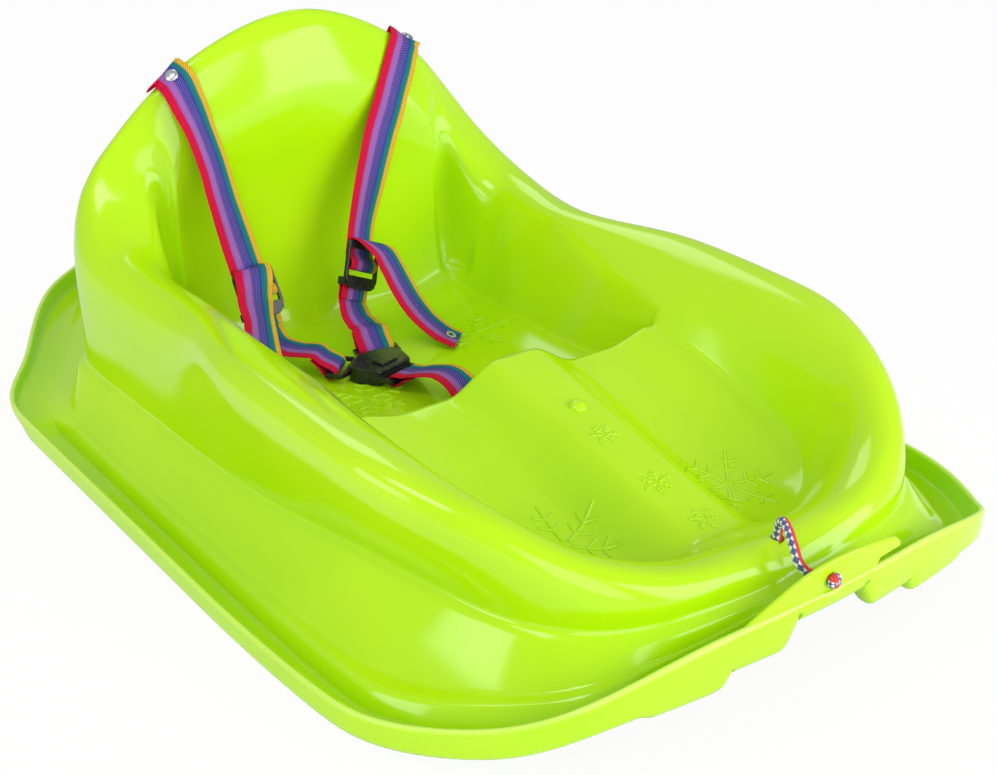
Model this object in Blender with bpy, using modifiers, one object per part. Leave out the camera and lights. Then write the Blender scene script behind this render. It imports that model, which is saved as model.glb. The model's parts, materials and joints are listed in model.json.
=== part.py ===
"""Toddler sled with a moulded seat tub, rainbow harness and pull cord.

Metres, +Z up. The nose faces -Y, the left side is -X, and the sled stands on Z = 0 with the
origin under the middle of its outline.
"""
from math import cos, pi, radians, sin, tau

import bmesh
import bpy
from mathutils import Matrix, Vector
from mathutils.bvhtree import BVHTree

MM = 0.001
GAP = 0.0003                 # clearance between touching pieces
WELD = 0.000001              # points nearer than this are one
LEVEL = 0.0000001            # difference in height of an edge that lies level

# Shell. Heights are of its upper face, outlines of its outer edge.
HALF_WIDTH = 0.2175          # from the middle to the outer lip
NOSE_Y = -0.376              # front of the lip
TAIL_Y = 0.376               # rear of the lip
SHEET = 0.003                # moulded wall
LIP_HEIGHT = 0.016           # side lip above the ground
LIP_DRAFT = 0.0005           # lean of the lip's face
NOSE_HEIGHT = 0.057          # lip at the middle of the nose
TAIL_HEIGHT = 0.030          # lip at the middle of the tail
NOSE_RIM_HEIGHT = 0.066      # tub rim over the nose
SIDE_RIM_HEIGHT = 0.116      # tub rim beside the seat
BACK_HEIGHT = 0.255          # top of the backrest
CORNER_HEIGHT = 0.217        # crest where the shoulder straps cross it
STATIONS = 80                # points around each ring, four between two anchors
FRONT_SHARE = (0.0, 0.37, 0.46, 0.93)      # places of the first four, for the arch and runners
SIDE_SHARE = (0.0, 0.45, 0.60, 0.70)       # and of the next four, for the outer rib
STEP_SHARE = (0.0, 0.33, 0.64, 0.82)       # and of the four before the step at the rear
STEP_SPAN = 6                              # the span between anchors that has that step
REST_STATIONS = (17, 27)                   # the floor lies on the ground between these
STEP_LIFT = 0.0003                         # at the last, where it bends up
ARCH_HALF = 0.028            # arch in the middle of the nose
RUNNER_OUTER = 0.068         # outer end of the runner, where the deeper rib starts
RIB_OUTER = 0.1085           # outer end of the rib
ARCH_BASE = 0.0485           # height of the sheet's foot over the arch
RUNNER_BASE = 0.0345         # over the runner
RIB_BASE = 0.0265            # over the rib

# Seat and footwells
SEAT_HEIGHT = 0.034
FOOTWELL_HEIGHT = 0.036
FOOTWELL_Y = -0.262          # where the footwells start to rise
BOLSTER_Y = -0.122           # front edge of the seat well
BOLSTER_FACE = 0.010         # length of the steep face behind it
BOLSTER_STATION = 19         # station of the rings at that edge
BOLSTER_SIDE = 0.073         # height of that edge beside the hump
CREST_REAR = 0.089           # hump between the legs, at that edge
CREST_FRONT_Y = -0.291
CREST_FRONT = 0.052          # and at its front end
HUMP_TOP = 0.012             # half width of its rounded top
HUMP_HALF = 0.048            # half width of its foot
PAN_FILLET = 0.008           # rise of the floors to the walls

# Tongue of the nose
FLAP_SETBACK = 0.0012        # behind the lip's face
FLAP = 0.003
FLAP_LEFT = -0.058
FLAP_RIGHT = 0.050
FLAP_TOP = 0.071
FLAP_FREE = 0.028            # its end is free beyond this
CORD_HOLE_Z = 0.0632         # hole in the tongue
CORD_HOLE_Y = -0.336         # hole in the rim

# Webbing
WEB_WIDTH = 0.025
WEB = 0.0014
LAYER = WEB + GAP            # from one layer to the next
SEWN_END = 0.012             # length of a doubled end round a bar
REST_OVER = 0.0011           # from the rounded rim to the webbing that lies on it
DEEPEST = 0.012              # webbing deeper in the shell than this isn't lifted out
FACING = 0.3                 # least share of a lift that is along the face's normal

# Rivets
RIVET_X = 0.0905             # from the middle, on the rim of the backrest
RIVET_Y = 0.1230
RIVET_HEAD = 0.0046          # radius
RIVET_HEAD_HEIGHT = 0.0018
RIVET_SHANK = 0.0020         # radius
RIVET_FLARE = 0.0030         # radius of its spread end
WASHER = 0.0034              # radius
WASHER_THICKNESS = 0.0010
WASHER_DEPTH = 0.0016        # under the sheet
RIVET_TAIL = 0.0008
CROTCH_RIVET_Y = -0.098      # where the crotch strap is fixed to the seat pan

# Adjusters, in their own plane: along the strap, across it, and out to the front
BAR_LENGTH = WEB_WIDTH + 0.0012
RAIL = 0.0024                # side rails
PLATE = 0.0030               # thickness
TOP_BAR = (0.0110, 0.0160)   # from the middle bar, along the strap
MIDDLE_BAR = 0.0018          # half its height
BOTTOM_BAR = (-0.0165, -0.0080)
REAR_BAR = 0.0012            # radius of the bar that carries the lower strap
REAR_BAR_AT = -0.0120
REAR_BAR_BACK = -0.0052
EAR = 0.0052                 # height of its ears

# Buckle, in its own plane: across, along the harness, and up
BUCKLE_AT = (-0.014, -0.003)
BUCKLE_TURN = radians(13.7)
BUCKLE_HEIGHT = 0.0110
TONGUE_TURN = radians(28)
TONGUE_OFFSET = 0.006        # from the buckle's middle to the tongue's axis
TONGUE_BASE = 0.002
TONGUE_FACE = 0.0160         # mouth of the socket, along the tongue
TONGUE_TIP = 0.0025
BLADE = 0.0130               # width
TONGUE_PLATE = 0.0030        # thickness
TONGUE_CLEARANCE = 0.0002    # above, below and beside the blade
TONGUE_SLOT = (0.0195, 0.0262)
TONGUE_BAR = 0.0040          # bar that the webbing turns round
TONGUE_LEAN = radians(38)    # its strap rises from the bar at this angle
CROTCH_SLOT = (-0.0165, -0.0105)
CROTCH_BAR = 0.0036
CROTCH_LEAN = radians(24)    # the crotch strap rises from its bar at this angle
BUTTON = (0.0074, 0.0050)    # half width and half length
BUTTON_CLEARANCE = 0.0004
BUTTON_PROUD = 0.0017
BUTTON_SUNK = 0.0012
BUTTON_TRAVEL = 0.0015

# Pull cord
CORD = 0.005
CORD_HOLE = 0.0032           # radius
KNOT = 0.0043                # radius
KNOT_DEPTH = 0.0042
HANK_FRONT = -0.258
HANK_REAR = -0.128
HANK_WIDTH = 0.026
HANK_HEIGHT = 0.0175
TIE = 0.0015
TIE_WIDTH = 0.014


def clear_scene():
    """Removes what the scene holds."""
    for obj in list(bpy.data.objects):
        bpy.data.objects.remove(obj)


def collection(name):
    """A collection linked to the scene."""
    made = bpy.data.collections.new(name)
    bpy.context.scene.collection.children.link(made)
    return made


def material(name, colour, roughness, metallic=0.0):
    """A plain finish."""
    made = bpy.data.materials.new(name)
    made.use_nodes = True
    shader = made.node_tree.nodes["Principled BSDF"]
    shader.inputs["Base Color"].default_value = (*colour, 1.0)
    shader.inputs["Roughness"].default_value = roughness
    shader.inputs["Metallic"].default_value = metallic
    made.diffuse_color = (*colour, 1.0)
    return made


def add_object(name, mesh, finish, group):
    """An object of the part, in its collection."""
    obj = bpy.data.objects.new(name, mesh)
    group.objects.link(obj)
    if finish:
        mesh.materials.append(finish)
    return obj


def bm_object(name, bm, finish, group):
    """An object from a bmesh, with its faces turned outwards."""
    bmesh.ops.recalc_face_normals(bm, faces=bm.faces[:])
    mesh = bpy.data.meshes.new(name)
    bm.to_mesh(mesh)
    bm.free()
    mesh.shade_smooth()
    mesh.set_sharp_from_angle(angle=radians(35))
    return add_object(name, mesh, finish, group)


def cutter(name, bm, group):
    """A hidden shape for a Boolean."""
    obj = bm_object(name, bm, None, group)
    obj.hide_render = True
    obj.display_type = "WIRE"
    return obj


def boolean(obj, tool, operation):
    """A Boolean modifier."""
    made = obj.modifiers.new(tool.name, "BOOLEAN")
    made.operation = operation
    made.solver = "EXACT"
    made.object = tool


def between(start, end, f):
    """Point at the share f from start to end."""
    return start + (end - start) * f


def smoothstep(low, high, value):
    """0 below low, 1 above high, smooth between."""
    t = min(max((value - low) / (high - low), 0.0), 1.0)
    return t * t * (3 - 2 * t)


def mm(*points):
    """Points given in millimetres."""
    return [tuple(MM * c for c in p) for p in points]


def slope(before, after):
    """Slope at a point of a curve that doesn't overshoot it."""
    return 0.0 if before * after <= 0 else 2 * before * after / (before + after)


def steady_point(points, t):
    """Point on a curve through the points that passes none of them, t from 0 to len - 3."""
    i = min(int(t), len(points) - 4)
    f = t - i
    out = []
    for k in range(3):
        a, b, c, d = (points[i + j][k] for j in range(4))
        start, end = slope(b - a, c - b), slope(c - b, d - c)
        rise = c - b
        out.append(b + f * start + f * f * (3 * rise - 2 * start - end) + f ** 3 * (start + end - 2 * rise))
    return Vector(out)


def round_point(a, b, c, d, f):
    """Catmull-Rom point between b and c."""
    square = 2 * a - 5 * b + 4 * c - d
    cube = 3 * b - a - 3 * c + d
    return 0.5 * (2 * b + (c - a) * f + square * f * f + cube * f ** 3)


def ring(anchors):
    """A closed ring from one side's anchors: front middle, right side, rear middle, left side."""
    mirror = Matrix.Diagonal((-1.0, 1.0, 1.0))
    pts = [Vector(p) for p in anchors]
    pts = [mirror @ pts[1]] + pts + [mirror @ pts[-2]]
    shares = {0: FRONT_SHARE, 1: SIDE_SHARE, STEP_SPAN: STEP_SHARE}
    right = []
    for i in range(len(anchors) - 1):
        for share in shares.get(i, (0.0, 0.25, 0.5, 0.75)):
            right.append(steady_point(pts, i + share))
    right.append(steady_point(pts, len(anchors) - 1.0))
    return right + [mirror @ p for p in right[-2:0:-1]]


def inset(points, depth):
    """The ring moved inwards in plan."""
    out = []
    for k, p in enumerate(points):
        along = points[(k + 1) % len(points)] - points[k - 1]
        inwards = Vector((-along.y, along.x, 0)).normalized()
        out.append(p + inwards * depth)
    return out


# One side's anchors run front middle, front quarter, front corner, shoulder, four along the side
# from front to rear, rear diagonal, rear quarter and rear middle.

def lip_ring():
    """Free edge of the outer lip, at its outer face."""
    side = [(HALF_WIDTH, y * MM, LIP_HEIGHT) for y in (-140, 0, 128)]
    nose = mm((70, -371.5, 54.5), (132, -362, 44), (175, -329, 26), (212, -258, 16.6))
    tail = mm((178, 215, 18), (111, 323, 25)) + [(0, TAIL_Y, TAIL_HEIGHT)]
    return [(0, NOSE_Y, NOSE_HEIGHT)] + nose + side + tail


def base_ring():
    """Foot of the lip, where the channel's floor starts."""
    side = mm((217.5, -140, 3), (217.5, 0, 3), (217.5, 127, 9))
    nose = mm((70, -371.5, 32), (132, -362, 27), (175, -329, 10.5), (212, -258, 3.2))
    tail = mm((178, 215, 9), (111, 323, 12)) + [(0, TAIL_Y, TAIL_HEIGHT - 0.013)]
    outline = [(0, NOSE_Y, ARCH_BASE)] + nose + side + tail
    return rest([step_down(p) for p in inset(ring(outline), LIP_DRAFT)])


def channel_ring():
    """Inner edge of the channel's floor, at the foot of its riser."""
    outline = mm((0, -366, 49), (70, -361, 33), (122, -352, 28), (159, -321, 11), (196, -249, 3.2),
                 (199, -140, 3), (199, 0, 3), (198, 122, 9), (161, 190, 10), (97, 303, 14), (0, 354, 18))
    return rest([step_down(p) for p in ring(outline)])


def rest(points):
    """The ring with its heights made level where the sled stands."""
    first, last = REST_STATIONS
    for k, p in enumerate(points):
        station = min(k, STATIONS - k)
        if first <= station <= last:
            p.z = SHEET + (STEP_LIFT if station == last else 0.0)
    return points


def step_down(p):
    """The point lowered to the arch, the runner or the rib of the nose where it is over one of them."""
    x = abs(p.x)
    if p.y > -0.34 or x > RIB_OUTER:
        return p
    height = ARCH_BASE if x < ARCH_HALF else RUNNER_BASE if x < RUNNER_OUTER else RIB_BASE
    return Vector((p.x, p.y, height))


def foot_ring():
    """Top of the riser, where the lower wall starts."""
    return mm((0, -362, 51), (69, -354, 42), (119, -346, 35), (153, -316, 23), (191, -245, 13),
              (193, -140, 12), (193, 0, 12), (192, 100, 13), (152, 172, 17), (89, 290, 21), (0, 341, 26))


def ledge_ring():
    """Outer edge of the ledge half way up the wall."""
    return mm((0, -357, 52), (67, -351, 49), (109, -334, 47), (137, -300, 48), (158, -205, 46),
              (168, -110, 39), (172, 0, 36), (173, 120, 36), (139, 174, 38), (76, 272, 41), (0, 318, 45))


def ledge_inner_ring():
    """Inner edge of the ledge, where the upper wall starts."""
    return mm((0, -353, 54), (64, -346, 52), (106, -330, 50), (134, -298, 51), (153, -205, 49),
              (163, -110, 42), (167, 0, 39), (168, 117, 39), (135, 170, 42), (73, 266, 47), (0, 311, 51))


def wall_ring():
    """Middle of the upper wall."""
    return mm((0, -349, 59), (60, -345, 61), (107, -328, 67), (142, -289, 76), (168, -207, 82),
              (172, -105, 82), (164, -2, 79), (171, 106, 84), (146, 156, 104), (90, 195, 137), (0, 206, 155))


def shoulder_ring():
    """Outer shoulder of the rim."""
    return mm((0, -343, 64), (52, -340, 67), (105, -321, 79), (143, -276, 101), (170, -202, 114),
              (171, -100, 117), (154, -5, 114), (163, 84, 125), (144, 130, 165), (100, 133, 207), (0, 127, 245))


def crest_ring():
    """Top of the rim."""
    nose = [(0, -0.334, NOSE_RIM_HEIGHT)] + mm((48, -331, 67.5), (101, -311, 80.5), (134, -268, 102))
    side = [(0.154, -0.196, SIDE_RIM_HEIGHT - 0.001), (0.150, -0.098, SIDE_RIM_HEIGHT + 0.001),
            (0.140, 0.005, SIDE_RIM_HEIGHT)]
    return nose + side + mm((148, 78, 126), (131, 124, 171)) + [(0.095, 0.122, CORNER_HEIGHT), (0, 0.115, BACK_HEIGHT)]


def opening_ring():
    """Inner edge of the rim, round the opening."""
    return mm((0, -322, 62), (45, -317, 61.5), (97, -299, 74), (127, -259, 95), (134, -191, 104),
              (125, -90, 102), (126, 22, 105), (131, 66, 114), (116, 112, 167), (84, 112, 210), (0, 106, 244))


def inner_wall_ring():
    """Middle of the inner wall."""
    return mm((0, -309, 57), (43, -306, 51), (93, -288, 58), (119, -252, 72), (124, -190, 84),
              (117, -112, 92), (116, 15, 72), (119, 62, 76), (110, 103, 109), (72, 105, 136), (0, 101, 146))


def pan_ring():
    """Foot of the inner wall, round the seat and the footwells, on the floor."""
    outline = mm((0, -298, 0), (40, -294, 0), (86, -279, 0), (110, -245, 0), (115, -190, 0),
                 (111, -112, 0), (108, -2, 0), (110, 54, 0), (102, 96, 0), (58, 98, 0), (0, 96, 0))
    return [on_floor(p.x, p.y, min(k, STATIONS - k)) for k, p in enumerate(ring(outline))]


def hump_share(x):
    """Share of the hump's height at a distance from the middle."""
    return 1 - smoothstep(HUMP_TOP, HUMP_HALF, abs(x))


def floor_height(x, y):
    """Height of the seat pan and footwells."""
    edge = smoothstep(0.075, 0.115, abs(x)) * PAN_FILLET
    rise = min(max((y - FOOTWELL_Y) / (BOLSTER_Y - FOOTWELL_Y), 0.0), 1.0)
    feet = FOOTWELL_HEIGHT + (BOLSTER_SIDE - FOOTWELL_HEIGHT) * (0.6 * rise + 0.4 * smoothstep(0, 1, rise))
    crest = CREST_FRONT + (CREST_REAR - CREST_FRONT) * (y - CREST_FRONT_Y) / (BOLSTER_Y - CREST_FRONT_Y)
    front = feet + (crest - feet) * hump_share(x) + edge
    face = smoothstep(BOLSTER_Y, BOLSTER_Y + BOLSTER_FACE, y)
    seat = SEAT_HEIGHT + edge + PAN_FILLET * smoothstep(0.06, 0.10, y)
    return front * (1 - face) + seat * face


def on_floor(x, y, station):
    """Point of the floor; two rows of stations follow the bolster's edges."""
    y = {BOLSTER_STATION: BOLSTER_Y, BOLSTER_STATION + 1: BOLSTER_Y + BOLSTER_FACE}.get(station, y)
    return Vector((x, y, floor_height(x, y)))


def pan_patch(edge):
    """Rows of points that fill the pan ring; the border is the ring itself."""
    n = STATIONS // 4
    half = n // 2
    total = len(edge)
    front = [edge[(k - half) % total] for k in range(n + 1)]
    right = [edge[half + k] for k in range(n + 1)]
    rear = [edge[(-half - n - k) % total] for k in range(n + 1)]
    left = [edge[(-half - k) % total] for k in range(n + 1)]
    rows = []
    for j in range(n + 1):
        v = j / n
        row = []
        for i in range(n + 1):
            u = i / n
            if j in (0, n):
                row.append((front if j == 0 else rear)[i])
            elif i in (0, n):
                row.append((left if i == 0 else right)[j])
            else:
                sides = between(front[i], rear[i], v) + between(left[j], right[j], u)
                corners = between(between(front[0], front[n], u), between(rear[0], rear[n], u), v)
                p = sides - corners
                row.append(on_floor(p.x, p.y, half + j))
        rows.append(row)
    return rows


def shell_rings():
    """Rings of the moulded sheet's upper face, from the lip to the pan."""
    outer = [inset(ring(lip_ring()), SHEET), inset(base_ring(), SHEET), channel_ring()]
    inner = [ring(make()) for make in (foot_ring, ledge_ring, ledge_inner_ring, wall_ring, shoulder_ring,
                                       crest_ring, opening_ring, inner_wall_ring)]
    rings = outer + inner + [pan_ring()]
    crest = len(outer) + 5
    made = []
    for k, points in enumerate(rings):
        made.append(points)
        if k in (crest - 1, crest):
            around = zip(rings[k - 1], rings[k], rings[k + 1], rings[k + 2])
            made.append([round_point(a, b, c, d, 0.5) for a, b, c, d in around])
    return made


def shell_surface():
    """The upper face of the moulded sheet, as an open surface that faces up."""
    bm = bmesh.new()
    rings = shell_rings()
    count = len(rings[0])
    verts = [[bm.verts.new(p) for p in points] for points in rings]
    for outer, inner in zip(verts, verts[1:]):
        for k in range(count):
            nxt = (k + 1) % count
            bm.faces.new((outer[k], outer[nxt], inner[nxt], inner[k]))
    lookup = {tuple(v.co): v for v in verts[-1]}
    rows = pan_patch([v.co for v in verts[-1]])
    grid = [[lookup.get(tuple(p)) or bm.verts.new(p) for p in row] for row in rows]
    for low, high in zip(grid, grid[1:]):
        for i in range(len(low) - 1):
            bm.faces.new((low[i], low[i + 1], high[i + 1], high[i]))
    bm.normal_update()
    return bm


def prism(outline, lift):
    """A closed prism over a planar outline, moved by the vector lift."""
    bm = bmesh.new()
    low = [bm.verts.new(p) for p in outline]
    high = [bm.verts.new(Vector(p) + lift) for p in outline]
    bm.faces.new(low[::-1])
    bm.faces.new(high)
    for k in range(len(low)):
        nxt = (k + 1) % len(low)
        bm.faces.new((low[k], low[nxt], high[nxt], high[k]))
    return bm


def cylinder(radius, start, end, segments=24):
    """A cylinder from start to end."""
    start, end = Vector(start), Vector(end)
    axis = end - start
    bm = bmesh.new()
    size = {"radius1": radius, "radius2": radius, "depth": axis.length}
    bmesh.ops.create_cone(bm, cap_ends=True, segments=segments, **size)
    turn = Vector((0, 0, 1)).rotation_difference(axis).to_matrix().to_4x4()
    half_step = Matrix.Rotation(pi / segments, 4, "Z")
    bm.transform(Matrix.Translation((start + end) / 2) @ turn @ half_step)
    return bm


def box(low, high, place=None):
    """A box between two corners, in the frame of place."""
    bm = bmesh.new()
    bmesh.ops.create_cube(bm, size=1.0)
    low, high = Vector(low), Vector(high)
    bm.transform(Matrix.Translation((low + high) / 2) @ Matrix.Diagonal((*(high - low), 1.0)))
    if place:
        bm.transform(place)
    return bm


def flap_body():
    """The nose's tongue: a thin upright wall just behind the lip's face."""
    face = ring(lip_ring())
    near = sorted((p for p in face if p.y < -0.35), key=lambda p: p.x)

    def lip_y(x):
        """The lip's face over x."""
        for a, b in zip(near, near[1:]):
            if a.x <= x <= b.x:
                return a.y + (b.y - a.y) * (x - a.x) / (b.x - a.x)
        return near[0].y

    below = NOSE_HEIGHT - 0.005
    count = 13
    bm = bmesh.new()
    sides = []
    for k in range(count):
        x = FLAP_LEFT + (FLAP_RIGHT - FLAP_LEFT) * k / (count - 1)
        share = (x - FLAP_LEFT) / (FLAP_RIGHT - FLAP_LEFT)
        top = below + 0.003 + (FLAP_TOP - below - 0.003) * sin(pi * (0.10 + 0.72 * share)) ** 0.8
        foot = below + 0.0085 * smoothstep(FLAP_FREE, FLAP_FREE + 0.006, x)
        y = lip_y(x) + FLAP_SETBACK
        corners = ((y, foot), (y + FLAP, foot), (y + FLAP, top), (y, top))
        sides.append([bm.verts.new((x, *corner)) for corner in corners])
    for a, b in zip(sides, sides[1:]):
        for k in range(4):
            bm.faces.new((a[k], a[(k + 1) % 4], b[(k + 1) % 4], b[k]))
    bm.faces.new(sides[0][::-1])
    bm.faces.new(sides[-1])
    return bm


def make_shell(part, tools, finish):
    """The moulded sled body with its tongue; its holes are cut later."""
    bm = shell_surface()
    mesh = bpy.data.meshes.new("sled_shell")
    bm.to_mesh(mesh)
    bm.free()
    mesh.shade_smooth()
    shell = add_object("sled_shell", mesh, finish, part)
    wall = shell.modifiers.new("wall", "SOLIDIFY")
    wall.thickness = SHEET
    wall.offset = -1.0
    wall.use_even_offset = True
    boolean(shell, cutter("tongue", flap_body(), tools), "UNION")
    return shell


class Surface:
    """The evaluated faces of an object, for laying pieces on it."""

    def __init__(self, obj):
        """Reads the object as it is now."""
        self.tree = BVHTree.FromObject(obj, bpy.context.evaluated_depsgraph_get())
        bm = shell_surface()
        self.upper = BVHTree.FromBMesh(bm)
        bm.free()

    def top(self, x, y):
        """Height of the highest face over a point."""
        return self.tree.ray_cast(Vector((x, y, 1.0)), Vector((0, 0, -1)))[0].z

    def under(self, start, direction):
        """Second face met by a ray: where it leaves the sheet."""
        first = self.tree.ray_cast(start, direction)[0]
        return self.tree.ray_cast(first + direction * (SHEET / 4), direction)[0]

    def lift(self, line, normal, distance):
        """Move along the normal that brings a line of points clear of the upper face."""
        most = 0.0
        for q in line:
            place, face, _, gap = self.upper.find_nearest(q)
            height = gap if (q - place).dot(face) > 0 else -gap
            facing = normal.dot(face)
            if -DEEPEST < height < distance and abs(facing) > FACING:
                need = (distance - height) / facing
                most = need if abs(need) > abs(most) else most
        return normal * most


def smooth_path(stations, spacing):
    """Points and width directions along a smooth curve through (point, width) stations."""
    pts = [Vector(p) for p, _ in stations]
    ways = [Vector(w).normalized() for _, w in stations]
    pts = [2 * pts[0] - pts[1]] + pts + [2 * pts[-1] - pts[-2]]
    ways = [ways[0]] + ways + [ways[-1]]
    out = []
    for i in range(1, len(pts) - 2):
        count = max(1, round((pts[i + 1] - pts[i]).length / spacing))
        for k in range(count + (i == len(pts) - 3)):
            f = k / count
            p = round_point(*pts[i - 1:i + 3], f)
            out.append((p, between(ways[i], ways[i + 1], f)))
    return out


def webbing(name, path, finish, group, across=2, surface=None):
    """A strip of webbing along a path; with a surface it lies off that."""
    columns = across + 1
    bm = bmesh.new()
    middle = []
    for k, (p, way) in enumerate(path):
        ahead = path[min(k + 1, len(path) - 1)][0] - path[max(k - 1, 0)][0]
        along = ahead.normalized()
        side = (way - along * way.dot(along)).normalized()
        line = [p + side * WEB_WIDTH * (c / across - 0.5) for c in range(columns)]
        normal = side.cross(along)
        if surface:
            dense = line + [between(a, b, 0.5) for a, b in zip(line, line[1:])]
            up = surface.lift(dense, normal, REST_OVER + WEB / 2)
            line = [q + up for q in line]
        middle.append((line, normal))
    rows = []
    for line, normal in middle:
        rows.append([bm.verts.new(q + normal * WEB / 2) for q in line]
                    + [bm.verts.new(q - normal * WEB / 2) for q in reversed(line)])
    for a, b in zip(rows, rows[1:]):
        for k in range(len(a)):
            nxt = (k + 1) % len(a)
            bm.faces.new((a[k], a[nxt], b[nxt], b[k]))
    for row in (rows[0][::-1], rows[-1]):
        for k in range(across):
            bm.faces.new((row[k], row[k + 1], row[2 * columns - 2 - k], row[2 * columns - 1 - k]))
    return bm_object(name, bm, finish, group)


def frame(origin, across, along):
    """Matrix of a flat piece: X across it, Y along it and Z out to its front."""
    along = Vector(along).normalized()
    across = Vector(across)
    across = (across - along * across.dot(along)).normalized()
    out = across.cross(along)
    columns = [Vector((*v, 0.0)) for v in (across, along, out)] + [Vector((*origin, 1.0))]
    return Matrix(columns).transposed()


def rounded(points, radius, steps=4):
    """An outline with its corners rounded."""
    out = []
    for k, p in enumerate(points):
        p = Vector((*p, 0.0))
        before = (Vector((*points[k - 1], 0.0)) - p).normalized() * radius
        after = (Vector((*points[(k + 1) % len(points)], 0.0)) - p).normalized() * radius
        for s in range(steps + 1):
            f = s / steps
            q = p + before * (1 - f) ** 2 + after * f * f
            out.append((q.x, q.y))
    return out


def rectangle(x0, x1, y0, y1):
    """Corners of a rectangle."""
    return [(x0, y0), (x1, y0), (x1, y1), (x0, y1)]


def plate(name, outlines, thickness, finish, group, place, bevel=0.0):
    """A flat piece from an outline and its holes, with its middle in the plane of place."""
    curve = bpy.data.curves.new(name, "CURVE")
    curve.dimensions = "2D"
    curve.fill_mode = "BOTH"
    curve.extrude = thickness / 2
    for outline in outlines:
        spline = curve.splines.new("POLY")
        spline.points.add(len(outline) - 1)
        for point, (x, y) in zip(spline.points, outline):
            point.co = (x, y, 0.0, 1.0)
        spline.use_cyclic_u = True
    source = bpy.data.objects.new(name + "_outline", curve)
    mesh = bpy.data.meshes.new_from_object(source)
    bpy.data.objects.remove(source)
    bm = bmesh.new()
    bm.from_mesh(mesh)
    bpy.data.meshes.remove(mesh)
    bmesh.ops.remove_doubles(bm, verts=bm.verts[:], dist=WELD)
    if bevel:
        level = [e for e in bm.edges if abs(e.verts[0].co.z - e.verts[1].co.z) < LEVEL]
        rims = [e for e in level if e.calc_face_angle(0.0) > radians(60)]
        bmesh.ops.bevel(bm, geom=rims, offset=bevel, segments=2, profile=0.5, affect="EDGES")
    origin = place.translation
    bm.transform(Matrix.Translation(-origin) @ place)
    obj = bm_object(name, bm, finish, group)
    obj.location = origin
    return obj


def circle(bm, radius, height, segments):
    """Vertices of a circle about Z."""
    turns = [tau * k / segments for k in range(segments)]
    return [bm.verts.new((radius * cos(a), radius * sin(a), height)) for a in turns]


def turned(profile, place, segments=32):
    """A closed turned body about Z, from its profile as (radius, height) from axis to axis."""
    bm = bmesh.new()
    rings = []
    for radius, height in profile:
        rings.append(circle(bm, radius, height, segments) if radius else [bm.verts.new((0, 0, height))])
    for a, b in zip(rings, rings[1:]):
        for k in range(segments):
            nxt = (k + 1) % segments
            if len(a) == 1:
                bm.faces.new((a[0], b[nxt], b[k]))
            elif len(b) == 1:
                bm.faces.new((a[k], a[nxt], b[0]))
            else:
                bm.faces.new((a[k], a[nxt], b[nxt], b[k]))
    bm.transform(place)
    return bm


def axis_frame(origin, direction):
    """Matrix with its Z along a direction."""
    return Matrix.Translation(origin) @ Vector((0, 0, 1)).rotation_difference(direction).to_matrix().to_4x4()


def hollow(profile, place, segments=24):
    """A turned body about Z whose profile as (radius, height) closes on itself."""
    bm = bmesh.new()
    loops = [circle(bm, radius, height, segments) for radius, height in profile]
    for a, b in zip(loops, loops[1:] + loops[:1]):
        for k in range(segments):
            nxt = (k + 1) % segments
            bm.faces.new((a[k], a[nxt], b[nxt], b[k]))
    bm.transform(place)
    return bm


def rivet(name, seat, direction, below, finish, part):
    """A rivet whose head sits at seat and whose shank runs down to the point below."""
    length = (Vector(seat) - Vector(below)).length
    dome = [(RIVET_HEAD * cos(a), RIVET_HEAD_HEIGHT * sin(a)) for a in (radians(d) for d in (0, 25, 50, 72))]
    foot = -length - RIVET_TAIL
    flare = [(0, foot), (RIVET_FLARE * 0.7, foot), (RIVET_FLARE, foot + RIVET_TAIL / 2), (RIVET_FLARE, -length)]
    profile = flare + [(RIVET_SHANK, -length), (RIVET_SHANK, 0)] + dome + [(0, RIVET_HEAD_HEIGHT)]
    return bm_object(name, turned(profile, axis_frame(seat, direction)), finish, part)


def fasten(name, point, direction, shell, surface, strap, finish, part, tools):
    """A rivet and its washer through webbing and shell, with the holes for them."""
    direction = Vector(direction).normalized()
    start = Vector(point) + direction * WEB_WIDTH
    graph = bpy.context.evaluated_depsgraph_get()
    top = BVHTree.FromObject(strap, graph).ray_cast(start, -direction)[0]
    lower = surface.under(start, -direction)
    seat = top + direction * 2 * GAP
    washer = lower - direction * (WASHER_DEPTH + WASHER_THICKNESS)
    below = washer - direction * GAP
    rivet(name + "_rivet", seat, direction, below, finish, part)
    place = axis_frame(washer, direction)
    hole = RIVET_SHANK + GAP
    outline = [(hole, 0), (WASHER, 0), (WASHER, WASHER_THICKNESS), (hole, WASHER_THICKNESS)]
    bm_object(name + "_washer", hollow(outline, place), finish, part)
    tool = cutter(name + "_hole", cylinder(hole, below - direction * 0.001, seat + direction * 0.001), tools)
    for piece in (shell, strap):
        boolean(piece, tool, "DIFFERENCE")


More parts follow.
